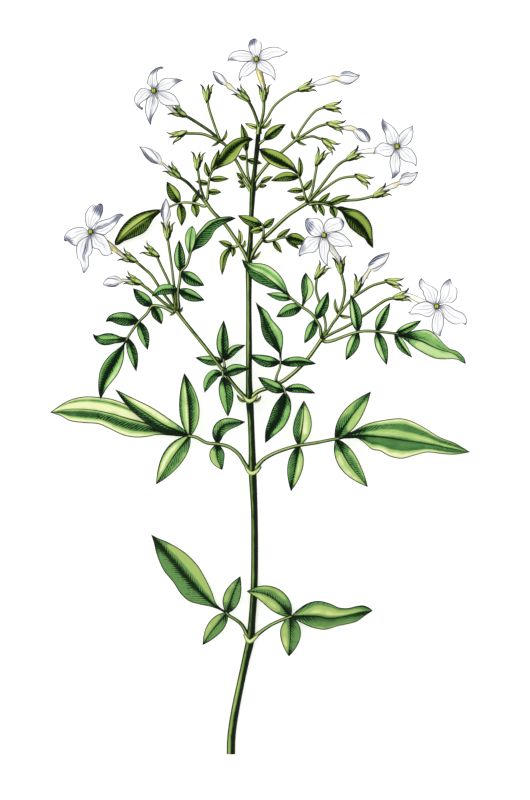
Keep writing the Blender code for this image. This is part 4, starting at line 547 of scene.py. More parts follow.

# Open flowers: the shoot, its calyx's number, the centre, and petals as (left margin, right
# margin, height of the tip, how deep the painted shade at the tip is, where that starts, the side where it
# is deepest, and how deep the painted shade along the middle is), with left and right for someone who looks
# outwards from the throat
FLOWERS = [
    ("top_cyme", 1, (256.5, 60, 19.6), [
        ([(254.5, 57), (251, 54), (248.8, 50.5), (248.4, 46), (249.5, 42.3), (252, 40), (255, 39)],
         [(258, 57), (260.5, 54.5), (261.6, 50), (261.8, 46), (261, 42.8), (258.3, 41.5), (255, 39)],
         19.3, 1, 0.5, -0.9, 0.1),
        ([(258.8, 57), (261.5, 51.5), (265, 49.5), (270, 47.9), (275, 47.6), (280, 48.7), (283, 51),
          (288.5, 52.5)],
         [(259.5, 60.5), (263, 61.2), (268, 61.2), (273, 58.8), (278, 58.1), (282, 56.8), (285, 55.3),
          (288.5, 52.5)], 19.3, 0.5, 0.85, 0.5, 0.1),
        ([(260.3, 61), (265, 61.3), (268.5, 63), (272, 66), (274.5, 70), (275.5, 75), (275.5, 79),
          (275, 82)],
         [(257, 62.5), (256.8, 66), (257, 70), (260.5, 72.3), (264, 74), (268, 75.8), (271, 77),
          (273, 79.5), (275, 82)], 19, 0.5, 0.75, 0, 0.3),
        ([(256.2, 62.5), (256.8, 66), (256, 70), (254, 72), (250.5, 75), (247, 77.2), (243, 77.5),
          (241.5, 79), (240, 83)],
         [(253.4, 62), (248, 62.5), (245, 64.5), (242.5, 67.5), (240.5, 70.5), (239, 75), (238.6, 79),
          (240, 83)], 19, 0.6, 0.7, 0, 0.2),
        ([(253.5, 61.5), (248, 62.5), (243, 63), (239, 62.5), (236, 61.8), (232, 61.5), (229, 61.5),
          (227.2, 62.5)],
         [(254, 58), (250, 53), (246, 51.5), (241, 50.8), (235, 52), (231, 54), (229, 57), (227.8, 60),
          (227.2, 62.5)], 19.2, 0.7, 0.6, -0.9, 0.15),
    ]),
    ("crown_left_cyme", 0, (154, 91.5, 19.4), [
        ([(151.5, 88.8), (147.8, 85), (147.6, 82), (148.3, 78.5), (150, 74.5), (152.5, 71.5), (155.5, 69.3),
          (159, 67.8), (162, 67.2), (164.5, 69.3)],
         [(156, 88.5), (158.5, 85), (157.8, 82), (157.3, 78), (157.5, 74), (158.5, 71.5), (161, 70),
          (164.5, 69.3)], 19.7, 1, 0.45, -0.9, 0.3),
        ([(156, 89), (159, 84), (161, 81), (164.5, 79), (169, 78.5), (173, 79), (178, 79.3), (181, 80.2),
          (183.5, 81.2)],
         [(157.5, 91.2), (160, 92), (165, 91.5), (169.5, 90.8), (171.5, 89), (174, 87), (177, 84.5),
          (180, 82.8), (183.5, 81.2)], 18.9, 1, 0.56, 0, 0.3),
        ([(157.5, 92.3), (162, 92.2), (167, 92.2), (171, 93.5), (175, 96), (177.5, 99.5), (179.5, 103),
          (180.7, 107)],
         [(156.3, 94.3), (158.5, 99.5), (160.5, 103.5), (165, 106.3), (170, 106.7), (175, 106.5),
          (178, 107), (180.7, 107.5)], 18.8, 0.4, 0.7, 0.5, 0.45),
        ([(156, 95.5), (158, 100), (159, 103.5), (158, 107.5), (156, 112), (154, 115.5), (152.5, 119),
          (151.8, 122), (151.5, 126)],
         [(152, 95), (147, 100), (146, 104), (145.2, 109), (145.5, 113), (146.8, 117.5), (148, 121),
          (149.5, 124), (151.5, 126)], 18.8, 1, 0.58, -0.5, 0.5),
        ([(152, 94), (149, 98), (146.5, 100.5), (143, 102.8), (140.5, 105), (141, 107), (143.5, 108.5),
          (142.5, 111)],
         [(151.5, 90.8), (148, 89.5), (143, 88.5), (140, 90), (137, 93.5), (134.8, 97.5), (134.3, 101),
          (135.5, 104.5), (137.5, 107.5), (140, 109.5), (142.5, 111)], 19, 1, 0.6, 0, 0.2),
    ]),
    ("high_right_shoot", 1, (397, 147, 18.8), [
        ([(394, 145.5), (389, 145), (386.5, 143.5), (385.3, 140), (385, 136.5), (384, 133.5), (382, 129.5),
          (381.2, 126), (381.2, 122), (382.5, 118.5)],
         [(396.5, 143.5), (397, 139), (398.3, 135.5), (396.5, 132), (393.5, 128), (390, 125), (386.5, 123),
          (384, 121), (382.5, 118.5)], 18.5, 0.9, 0.5, -0.8, 0.2),
        ([(397.5, 143.5), (398.5, 136.5), (401, 133), (404.5, 130), (408, 128.3), (410.5, 127),
          (412.2, 125.5)],
         [(400, 146.2), (405.5, 146.5), (408.5, 144.5), (411, 141.5), (412.5, 137), (413.2, 133),
          (412.8, 129), (412.2, 125.5)], 18.6, 0.5, 0.6, 0.8, 0.45),
        ([(400.3, 147.2), (404, 147.5), (408.5, 148.3), (411.5, 150), (414, 153.5), (416, 157),
          (416.7, 161), (416.5, 164), (415.8, 167.5)],
         [(397.8, 150.3), (399, 156.5), (400.5, 159.5), (404, 162), (407, 162.8), (411, 163.5),
          (413.5, 165), (415.8, 167.5)], 18.4, 0.4, 0.75, 0, 0.2),
        ([(397.3, 150.8), (398.5, 155.5), (400, 160), (400.3, 165), (399.7, 169), (399.5, 172.5),
          (397, 175.5), (394.5, 178), (391, 179.5)],
         [(394.8, 150.3), (390.5, 156.5), (389.5, 160), (389.2, 164), (390, 168), (391, 172), (391.5, 176),
          (391, 179.5)], 18.2, 1, 0.6, -0.3, 0.3),
        ([(394.5, 149.5), (391.5, 156), (388, 157.3), (384.5, 157.2), (381, 155.5), (377.5, 154.3),
          (374.5, 154.3), (372.5, 155.5)],
         [(393.6, 146), (389.5, 145.3), (385.5, 143.7), (382, 143), (379, 144.5), (376.5, 147),
          (375, 148.3), (374, 151), (372.5, 155.5)], 18.4, 0.7, 0.65, 0.5, 0.2),
    ]),
    ("left_shoot", 0, (91, 232, 17.9), [
        ([(89.3, 229.3), (86.5, 226), (85.5, 221), (85.3, 216), (86.5, 212), (88.5, 208.5), (91.5, 206),
          (94, 204.8), (97, 205.6), (99, 204.3), (101, 203.5)],
         [(92.5, 229.3), (95, 226), (97.5, 222.5), (100.5, 219.5), (102, 216), (103.5, 211.5), (103.6, 207),
          (102.5, 204.5), (101, 203.5)], 18, 1, 0.45, 0.7, 0.2),
        ([(93.2, 230), (95.3, 227), (97, 223.5), (100, 221.5), (104, 220), (109, 218.8), (112, 217.3),
          (116, 215), (119, 214), (122, 214), (124.5, 216.5)],
         [(94.5, 233), (100, 234.5), (105, 235.5), (108, 233.5), (112, 230.5), (115, 227), (118, 223),
          (120, 219.5), (122.5, 217), (124.5, 216.5)], 17.6, 1, 0.56, 0, 0.75),
        ([(94.2, 233.3), (100, 234.2), (104.5, 235.8), (107, 239), (109.5, 243.5), (111, 248), (112, 252),
          (113.5, 254)],
         [(91.5, 235.5), (92, 240), (92.3, 245), (93.3, 248.5), (97, 249.5), (99.5, 251), (102, 255),
          (105, 256.3), (108, 256.5), (110.5, 255), (113.5, 254)], 17.4, 0.3, 0.7, 0, 0.4),
        ([(91.3, 236), (92.3, 243), (93, 247.5), (93, 251), (92, 254), (89.5, 256.5), (89, 257.5),
          (89.7, 262), (89.3, 266), (87.5, 270), (85, 273), (83.5, 273.8)],
         [(88.8, 235.3), (83.5, 238.5), (80, 241), (77.5, 244.5), (76.5, 249), (76.8, 254), (77.5, 258.5),
          (80, 261.5), (81.5, 266), (82.5, 269.5), (83, 272.5), (83.5, 273.8)], 17.6, 0.6, 0.7, 0, 0.75),
        ([(89, 236.4), (85, 239.3), (81.4, 242.3), (78.8, 245.4), (76.4, 246.6), (73, 245.5), (70, 243.5),
          (67.5, 241.5), (65.5, 242)],
         [(88.6, 231.2), (85, 228), (80, 227.3), (75, 228), (70, 230), (66.5, 233), (64.5, 236.5),
          (64, 240), (65.5, 242)], 16.6, 1, 0.55, -0.5, 0.25),
    ]),
    ("right_shoot", 0, (324, 235.5, 17.9), [
        ([(321.5, 236.3), (317, 237), (313.5, 237), (310.5, 235.5), (307.5, 232.5), (305.8, 229),
          (305, 225), (305.2, 221), (306.8, 218.5)],
         [(323.2, 232.8), (323.3, 226), (322.5, 223), (320.5, 220.5), (318, 219), (314.5, 218.3),
          (311, 218.8), (308.5, 218.3), (306.8, 218.5)], 17.9, 0.65, 0.35, -0.9, 0.1),
        ([(323.8, 232.3), (323.5, 226.5), (325, 222.5), (327.5, 220), (330, 218.5), (334, 217.8),
          (338, 217.5), (341.5, 219), (344, 222)],
         [(327, 234), (332, 232.3), (336, 232), (340, 231), (342.3, 229), (343.8, 226), (344.3, 223.5),
          (344, 222)], 17.9, 0.9, 0.62, 0.2, 0.1),
        ([(327.2, 234.4), (333, 232.5), (337, 232), (341, 233.5), (345, 236), (348.5, 239.5), (350.5, 242),
          (352, 245.5), (352.7, 247.8)],
         [(326.5, 238), (329, 243), (331, 245.5), (334, 247), (337, 246.8), (340, 247.3), (344, 246.8),
          (348, 246.5), (352.7, 247.8)], 17.4, 0.3, 0.8, 0, 0.25),
        ([(326, 238.5), (328.8, 243), (329.8, 247), (329.5, 250.5), (328.5, 253), (327.8, 257.5),
          (327.5, 262), (327.8, 265), (328.7, 267.3)],
         [(322.4, 238.5), (319.3, 243), (318.5, 248), (319, 252.5), (320, 257), (322, 261), (325, 264.5),
          (328.7, 267.3)], 17.2, 0.6, 0.8, -0.8, 0.15),
        ([(321.8, 238), (319, 243.5), (318.3, 248), (316, 251.2), (313, 253.3), (308, 253.5), (303, 254.8),
          (300, 256.8), (298.8, 256.8)],
         [(320.8, 236.3), (313, 237.5), (307.5, 236.8), (305, 239), (303, 242), (301, 246), (299.5, 249.5),
          (298.5, 253), (298.8, 256.8)], 17.4, 0.6, 0.5, 0.8, 0.15),
    ]),
    ("right_shoot", 4, (436.5, 306.5, 17.4), [
        ([(434.2, 305), (429, 302.5), (425.5, 301), (424.5, 298), (422.8, 295), (422.5, 292), (420, 289),
          (418.4, 285.5), (418.6, 281.5), (421, 278)],
         [(436.3, 303.5), (436.5, 298.5), (437.5, 295), (437.5, 291.5), (435.5, 289), (432.5, 286.8),
          (428.5, 285), (425.5, 283.3), (423.5, 280.5), (421, 278)], 17.2, 0.6, 0.6, -0.6, 0.1),
        ([(437, 303.5), (439.2, 299), (440, 295), (439.8, 291), (441, 287), (443.5, 283), (447, 280),
          (450, 278.5)],
         [(438.8, 304.5), (445, 303.3), (450.5, 303.5), (453.5, 301.8), (456, 299), (457, 294.5),
          (457, 290), (455.3, 287), (452.5, 284.5), (451, 281), (450, 278.5)], 17.2, 0.75, 0.6, -0.6, 0.15),
        ([(439.2, 305.2), (445, 304.5), (450, 306.5), (454.5, 309.5), (459, 311.5), (462.5, 313),
          (465, 316), (466.7, 319.5), (466.5, 323), (465.3, 325.5)],
         [(438.3, 308.7), (441.5, 311.5), (443, 315), (444, 318), (446.5, 320.5), (450, 323), (454, 324.5),
          (458, 324.3), (461.5, 323.5), (465.3, 325.5)], 17, 0.25, 0.7, 0, 0.25),
        ([(437.8, 309.3), (441.5, 312.5), (443, 316), (443.8, 320), (443.5, 325), (442, 329.5), (441, 333),
          (440, 337)],
         [(434.9, 309.3), (433.8, 314), (432.3, 318), (431.3, 323), (431.3, 328), (432.5, 332),
          (436, 334.3), (440, 337)], 17, 0.7, 0.7, -0.8, 0.2),
        ([(434.4, 309), (433.5, 313), (431, 316), (427.5, 317.5), (423.5, 316.3), (419.5, 314.8),
          (415, 314.5), (411, 314.8), (409, 313.5), (407.5, 312.5)],
         [(433.8, 305.3), (429, 302.5), (424.5, 301.5), (420, 302.5), (416.5, 304), (413.5, 306),
          (411.5, 308.5), (410.5, 311), (409, 312), (407.5, 312.5)], 17, 0.25, 0.8, 0, 0.15),
    ]),
]

# The open flowers whose tube is cream, by number
CREAM_TUBES = {1, 4}

# Closed flowers: the shoot, its calyx's number, the tube's and bud's two sides from the calyx's
# mouth on, the first up to the tip that both share, the heights at the mouth, the middle and the
# tip, the share along it where the tube ends, and the side on which shade is painted
BUDS = [
    ("top_cyme", 0,
     [(237.3, 94.7), (235.1, 93.3), (231.6, 91.1), (227.3, 89), (225.1, 86.1), (220.9, 85.1), (216.6, 81.9),
      (213.7, 76.9), (212.3, 71)],
     [(240.4, 91.9), (237.3, 90.4), (233.7, 87.6), (231.6, 84.7), (228, 82.6), (226.6, 79.7), (223, 75.4),
      (217.3, 72.6)], (14.3, 15, 15.4), 0.44, -1),
    ("top_cyme", 2,
     [(313.6, 82.6), (318.6, 79.7), (325.7, 77.1), (332.1, 75.7), (337.9, 77.1), (339.3, 75.1),
      (342.1, 72.3), (347.1, 71.4), (352.1, 73), (356.5, 74.6), (360, 75.1)],
     [(314.3, 85.7), (320, 86.1), (325.7, 85.1), (332.9, 82.6), (337.9, 81.4), (339.7, 82.3), (342.1, 84.3),
      (345.7, 85.4), (350.7, 84.7), (355, 81.9), (358.6, 78.3)], (13.6, 14.9, 15.2), 0.54, -0.5),
    ("crown_right_cyme", 1,
     [(338.9, 126.3), (344.9, 125.9), (350.6, 125.4), (354.9, 126.9), (356.3, 129.1), (360.6, 128.3),
      (364.9, 130.1), (368.4, 133.7), (370.3, 138), (369.1, 142.6)],
     [(339.9, 129.7), (344.9, 130.6), (350.6, 131.6), (353.7, 132.3), (354.1, 135.1), (357, 139.4),
      (362, 142), (366.3, 143.1)], (12.9, 13.8, 13.8), 0.42, -1),
    ("high_right_shoot", 3,
     [(382, 188.6), (387.4, 185.4), (393.1, 182.9), (398.9, 181.1), (399.1, 179.3), (401, 175.7),
      (404.6, 173.1), (409.6, 173.2), (413.9, 172.6), (418.1, 171.7)],
     [(383.9, 191.1), (390.3, 189.7), (396, 188.3), (398.9, 185.7), (402.4, 185), (406.7, 186),
      (411, 184.3), (414.6, 180.7), (416.7, 176.4)], (12, 13.1, 13), 0.44, -0.4),
    ("high_left_shoot", 0,
     [(166.3, 169.1), (163.4, 166.3), (160.6, 164.1), (157.7, 164.6), (152.7, 163.4), (148.4, 160.6),
      (144.1, 155.6), (141.3, 150.6), (138.9, 146.6)],
     [(169.4, 167.7), (166.3, 164.9), (162.7, 161.7), (161.3, 157.4), (158.4, 153.4), (153.4, 149.9),
      (146.3, 147.4)], (12.7, 13.7, 13.8), 0.24, -1),
    ("left_shoot", 3,
     [(163.8, 229), (163.6, 224.5), (162.9, 220.4), (161, 215.4), (161, 210.4), (162.4, 204.7),
      (164.6, 200.4), (166.3, 198.3)],
     [(168, 229), (167.6, 224.5), (168.9, 220.4), (170.7, 216.1), (170.7, 211.1), (169.6, 206.1),
      (168.1, 201.9)], (13, 14.2, 14.6), 0.2, -0.8),
    ("left_shoot", 1,
     [(128, 282.4), (123.7, 282), (120.1, 284.6), (116.6, 286.7), (111.6, 287.1), (106.6, 286.5),
      (102.6, 284.9)],
     [(127.3, 278.9), (123.7, 278.6), (120.1, 278.7), (117.3, 276.7), (113, 275.7), (108, 277.4),
      (104.4, 281)], (10.1, 10.8, 10.8), 0.28, -0.6),
    ("right_shoot", 1,
     [(359.9, 280.6), (363.4, 274.9), (367.4, 269.1), (367.4, 264.9), (370.6, 260.6), (376.3, 256.3),
      (383.4, 253.7), (389.9, 252.3)],
     [(364.1, 282.7), (367.7, 277), (371.3, 271.3), (374.9, 271.3), (379.9, 269.1), (384.9, 264.1),
      (388.4, 257.7)], (12, 13.1, 13.3), 0.33, -0.9),
]

# Pale collars where the stalks of a pair of leaves meet across the stem, each a path
COLLARS = [
    [(245.2, 466.5, 5.8), (248.6, 471.5, 6.8), (252.4, 473.4, 7.15), (256.6, 471.2, 6.9),
     (260.8, 466.5, 5.8)],
    [(244.2, 634.5, 3.1), (247.2, 640, 3.9), (250.2, 641.8, 4.25), (253.4, 639.6, 4),
     (258, 635.2, 3.2)],
    [(243.6, 396, 7.5), (246.8, 399.8, 8.2), (249.8, 401, 8.45), (253.2, 399.4, 8.2),
     (257, 395.2, 7.6)],
]

# The margins of the leaflets that aren't even, as (left plan points, right plan points), up to
# the leaflet's tip
LEAFLET_MARGINS = {
    ("low_right_leaf", 0): (
        [(290.7, 616.8), (297, 610.5), (307, 603.6), (318, 601), (329, 603.2), (339, 607.6), (348, 608.3),
         (357, 606.3), (364, 605.8), (370, 608.5)],
        [(290.7, 616.8), (300, 622.5), (312, 627.8), (325, 630), (338, 626.5), (348, 624.5), (357, 622),
         (365, 616.5)]),
    ("low_left_leaf", 0): (
        [(227, 613.3), (212, 607.5), (200, 604.8), (189, 601.5), (180.5, 594), (173, 582.5), (163, 570),
         (156.5, 555), (153.5, 543)],
        [(227, 613.3), (216.5, 604), (212, 592), (205, 577.5), (196.5, 564), (184, 552), (168, 542.5),
         (158, 538.5)]),
    ("second_left_leaf", 4): (
        [(191, 436), (174, 436), (158, 435), (146, 437), (134, 437.5), (122, 435), (109, 428.8),
         (98, 424.2), (83, 423), (70, 421.2), (60, 416)],
        [(191, 436), (176, 428.5), (160, 421), (146, 414), (130, 406), (116, 400.2), (104, 397.5),
         (86, 396.3), (72, 398.8), (62, 403.5), (54, 409)]),
    ("second_right_leaf", 4): (
        [(337, 439), (345, 434.5), (353, 431), (367, 423.8), (382, 420.2), (399, 418.2), (411, 420.6),
         (425, 427.8), (440, 437), (454, 442.3), (464, 448)],
        [(337, 439), (350, 438.6), (357, 438.6), (363, 442), (372, 449.6), (380, 451.2), (390, 456.6),
         (402, 458.8), (414, 455.8), (427, 452.6), (441, 454), (455, 454.8)]),
    ("left_shoot_outer_leaf", 4): (
        [(128, 340), (122, 342.6), (115, 343.5), (110, 344.8), (105, 345.4), (100.5, 344.6), (96.5, 341.8),
         (93.6, 337.8)],
        [(128, 337), (121.5, 336.7), (116.5, 334.8), (111, 333.1), (105, 333.2), (100, 334.6),
         (96, 335.3)]),
    ("left_shoot_outer_leaf", 6): (
        [(127.5, 339.6), (124.8, 344.5), (124.2, 350), (124, 356), (123, 362), (120.5, 369), (116.5, 376.2),
         (111.5, 382.5), (107, 388), (103.5, 394)],
        [(126.1, 339), (121.8, 345), (117.5, 348.8), (112, 353), (106.5, 358.5), (102.5, 364.5),
         (99.6, 371), (98.4, 378), (98, 386), (98.6, 393.5)]),
    ("left_shoot_inner_leaf", 5): (
        [(189.7, 253.2), (190.6, 247), (193, 240.5), (197, 234), (200.5, 229.6), (204.5, 225),
         (208.5, 221.4), (213, 219.4), (219, 217.6), (225, 216.7), (231, 216.6)],
        [(191.2, 253.8), (194.5, 250.6), (199.5, 248.4), (204, 246), (208, 242.2), (211.5, 237.8),
         (213.5, 233.6), (216, 230), (220, 227), (225, 223.8), (230, 221.7)]),
    ("right_shoot_upper_leaf", 0): (
        [(279.9, 360), (279.9, 354.6), (275.5, 350), (270.5, 345.4), (265.8, 340.8), (262.8, 335),
         (261, 328), (260.4, 321), (259.4, 314.6), (257.3, 308)],
        [(281.5, 360), (281.9, 352), (283, 344), (283.1, 337), (281.6, 331), (277, 325), (271.5, 318.6),
         (268.6, 313), (264, 308.6), (259, 305)]),
    ("right_shoot_inner_leaf", 2): (
        [(301.3, 306.8), (302.3, 300), (301.6, 294), (300.9, 288), (301.2, 282), (302.6, 277)],
        [(302.8, 307), (306.5, 301.5), (311, 297.3), (313.6, 291.5), (313.5, 286), (311.5, 280.6),
         (308.5, 276.6)]),
    ("right_shoot_inner_leaf", 5): (
        [(290.4, 298.9), (284, 293.5), (277, 290), (270, 288.2), (264, 285.6), (258, 283), (253, 279.8),
         (249.5, 275.5), (246.5, 270.5), (244, 266.5)],
        [(291.6, 297.6), (288, 292), (286, 286), (283.5, 280.5), (279.5, 274.6), (274.5, 269.8), (269, 266),
         (263, 263.8), (256, 263), (250, 262.4), (245.5, 261)]),
    ("right_shoot_outer_leaf", 6): (
        [(396.8, 333), (404, 332.6), (411, 331.4), (418, 330), (426, 329.4), (431, 331), (436, 334.6),
         (440, 339), (445, 344.6), (450, 348.6), (456, 350.2), (461, 353.6), (465, 358.4)],
        [(396.2, 334.8), (402, 338), (408, 342.6), (414, 347.6), (421, 352), (429, 356.2), (436, 358.8),
         (444, 359.4), (452, 359), (458, 359.8), (462, 362)]),
    ("high_left_outer_leaf", 4): (
        [(162.4, 210.7), (158.5, 214), (153.5, 219), (150.6, 223.8), (147.3, 229.2), (143, 233.2),
         (136.5, 236.2), (129.5, 238.9), (123.5, 241.2), (118.5, 244.5)],
        [(161.6, 209.3), (155.5, 209.1), (149, 210), (142, 211.8), (135.5, 214.5), (129.5, 218.3),
         (124, 223.5), (119.6, 229.5), (116.5, 235.5), (114.2, 241)]),
    ("high_left_inner_leaf", 5): (
        [(212.7, 169.5), (214.8, 164.8), (217.5, 159.8), (220, 155), (222.3, 150.8), (225, 146.9),
         (229, 143.4), (233, 140.4), (237.5, 138.4), (243, 137.3), (249, 137.1)],
        [(213.9, 170.6), (217.5, 169.2), (221.5, 167.4), (226, 165.8), (230.5, 163.9), (234.5, 161),
         (237.5, 157.6), (239.5, 153.6), (241.5, 149.8), (244.5, 145.6), (249, 142.6)]),
    ("high_right_inner_leaf", 5): (
        [(297.4, 175.5), (293.5, 171.8), (288, 169.6), (281, 169.1), (276, 167.2), (270.5, 164.8),
         (266.5, 161.8), (263, 158), (260.8, 154)],
        [(298.6, 174.4), (296.5, 169.5), (293.5, 163.8), (289, 158.6), (284.5, 155), (279.5, 151.9),
         (273.5, 149.8), (268, 148.7), (263, 148.4)]),
    ("high_right_outer_leaf", 5): (
        [(337, 207), (341, 206.2), (346.5, 207.6), (352, 208.6), (357.5, 209.8), (362.5, 212.7), (367, 217),
         (370.6, 222.4), (372.5, 228.5), (372.9, 235), (373.4, 242)],
        [(336, 208.6), (341, 212), (344, 217), (346.8, 222.8), (350, 227.8), (355, 231.9), (360, 235.6),
         (365, 238.6), (368, 243.4)]),
}

# Painted light and shade on the leaflets, as amounts from 0, pale as if lit, to 1, dark as if in shade, or
# more: from the midrib out to the margin on the left half and on the right half, then how much painted shade
# darkens the base and the tip
LEAFLET_LIGHT_AND_SHADE = {
    "low_left_leaf": {
        0: ((1, 0.66, 0.62, 0.62), (1.25, 0.4, 0.28, 0.36), 0.3, 0.6),
        1: ((0.95, 0.66, 0.64, 0.5), (0.7, 0.2, 0.3), 0.45, 0.45),
        2: ((0.7, 0.34, 0.5), (0.95, 0.66, 0.64, 0.56), 0.45, 0.45),
    },
    "low_right_leaf": {
        0: ((0.12, 0.1, 0.34, 0.8), (0.95, 0.78, 0.6, 0.4), 0.4, 0.6),
        1: ((0.6, 0.2, 0.16, 0.4), (0.9, 0.66, 0.36, 0.5), 0.65, 0.25),
        2: ((1, 0.72, 0.62, 0.5), (0.8, 0.22, 0.16, 0.4), 0.45, 0.45),
    },
    "second_left_leaf": {
        0: ((0.8, 0.32, 0.56), (0.92, 0.62, 0.4), 0.6, 0.15),
        1: ((0.95, 0.66, 0.6), (0.55, 0.24, 0.16), 0.65, 0.25),
        2: ((0.1, 0.08, 0.4, 0.75), (1, 0.85, 0.55, 0.5, 0.3), 0, 0.6),
        3: ((0.9, 0.55, 0.55, 0.4), (0.45, 0.05, 0.05, 0.75), 0.25, 0.35),
        4: ((1.1, 0.8, 0.7, 0.92, 0.05, 0), (0.2, 0, 0, 0.62, 0.04), 0.95, 0),
        5: ((1.15, 0.92, 1, 0.85), (0.45, 0.12, 0.05, 0.2), 0.6, 0.45),
    },
    "second_right_leaf": {
        0: ((0.85, 0.7, 0.55), (0.2, 0.1, 0.4), 0.35, 0.6),
        1: ((0.3, 0.1, 0.45), (0.85, 0.65, 0.45), 0.4, 0.6),
        2: ((0.65, 0.48, 0.4), (0.6, 0.2, 0.34), 0.55, 0.35),
        3: ((0.75, 0.55, 0.35), (0.4, 0.14, 0.2), 0.6, 0.2),
        4: ((0.15, 0.2, 0.4, 0.85, 0.6, 0.05), (0.66, 0.54, 0.58, 0.85, 0.02, 0.02), 0.6, 0.15),
    },
    "left_shoot_outer_leaf": {
        4: ((0.6, 0.48, 0.9), (0.45, 0.2, 0.82), 0.8, 0.95),
        6: ((1.2, 0.3, 0.08, 0.16), (1.25, 0.85, 0.58, 0.26), 0.6, 0.65),
    },
    "left_shoot_inner_leaf": {
        4: ((0.3, 0.12, 0.3), (0.3, 0.15, 0.15), 0.2, 0.05),
        5: ((0.5, 0.15, 0.3, 0.45), (0.85, 0.7, 0.66, 0.4), 0.3, 0.5),
    },
    "right_shoot_upper_leaf": {0: ((1.15, 0.88, 0.72, 0.6), (0.6, 0.28, 0.12, 0.44), 0.45, 0.65)},
    "right_shoot_lower_leaf": {0: ((0.9, 0.4, 0.28, 0.56), (1.2, 0.92, 0.72, 0.6), 0.45, 0.7)},
    "right_shoot_inner_leaf": {
        2: ((0.95, 0.66, 0.7, 0.8), (0.2, 0.05, 0.05), 0.3, 0.5),
        5: ((0.95, 0.72, 0.66, 0.55), (0.25, 0.1, 0.52, 0.15, 0.1), 0.4, 0.6),
    },
    "right_shoot_outer_leaf": {6: ((0.78, 0.28, 0.32, 0.05), (0.22, 0, 0.02, 0.2), 0.85, 0.2)},
    "high_left_outer_leaf": {4: ((1.2, 0.85, 0.7, 0.75), (0.1, 0.05, 0.12, 0.76, 1), 0.45, 0.6)},
    "high_left_inner_leaf": {5: ((1.3, 0.72, 0.4, 0.32), (1.2, 0.4, 0.15, 0.25), 0.7, 0.45)},
    "high_right_inner_leaf": {5: ((1.3, 1.1, 0.8, 0.2, 0.05), (1.1, 0.3, 0.18, 0.25), 0.55, 0.4)},
    "high_right_outer_leaf": {5: ((0.8, 0.2, 0.22, 0.42, 0.76), (1.3, 0.76, 0.7, 0.78), 0.65, 0.5)},
}

# How much darker than usual the other leaflets of some leaves are, and how pale young ones are
LEAF_TONES = {"left_shoot_outer_leaf": 0.12, "right_shoot_upper_leaf": 0.1,
              "right_shoot_lower_leaf": 0.04, "right_shoot_outer_leaf": -0.12}
YOUNG_TONE = 0.78


def place(points):
    """Plan points as an array in metres, with anything after the height kept."""
    plan = np.asarray(points, float)
    metres = plan.copy()
    metres[:, 0] = (plan[:, 0] - PLATE_MIDDLE) * PIXEL
    metres[:, 1] = (MIDDLE_ROW - plan[:, 1]) * PIXEL
    metres[:, 2] = plan[:, 2] * MM
    return metres


def even_points(path, count):
    """Count points, evenly apart, on the smooth curve through a path's points.

    Between two points the curve is the cubic that takes its slope at each from the line
    between that point's neighbours. The end points are mirrored to give the first slopes.
    """
    path = np.asarray(path, float)
    padded = np.vstack([2 * path[0] - path[1], path, 2 * path[-1] - path[-2]])
    before, start, end, after = (padded[k:len(padded) - 3 + k, None, :] for k in range(4))
    t = np.linspace(0.0, 1.0, CURVE_STEPS, endpoint=False)[None, :, None]
    fine = 0.5 * (2 * start + (end - before) * t + (2 * before - 5 * start + 4 * end - after) * t ** 2
                  + (3 * start - before - 3 * end + after) * t ** 3)
    fine = np.vstack([fine.reshape(-1, path.shape[1]), path[-1]])
    run = run_along(fine)
    wanted = np.linspace(0.0, run[-1], count)
    return np.stack([np.interp(wanted, run, column) for column in fine.T], axis=1)


def run_along(path):
    """How far along a path each of its points lies: the sum of the steps before it."""
    steps = np.linalg.norm(np.diff(path[:, :3], axis=0), axis=1)
    return np.concatenate([[0.0], np.cumsum(steps)])


def unit(vectors):
    """Vectors, each divided by its own length."""
    return vectors / np.maximum(np.linalg.norm(vectors, axis=-1, keepdims=True), 1e-12)


def smooth(values, start, end):
    """0 before the start, 1 after the end and the cubic 3x^2 - 2x^3 between them."""
    x = np.clip((np.asarray(values, float) - start) / (end - start), 0.0, 1.0)
    return x * x * (3.0 - 2.0 * x)


def even_shares(path):
    """The even share of the way, from 0 to 1, at each of a path's points."""
    return np.linspace(0.0, 1.0, len(path))


def ring_angles(around):
    """The angles of evenly spaced points round a ring, as one row."""
    return 2.0 * np.pi * np.arange(around)[None, :] / around


def show(name, data):
    """A new object in the scene, which holds the data."""
    shown = bpy.data.objects.new(name, data)
    bpy.context.scene.collection.objects.link(shown)
    return shown


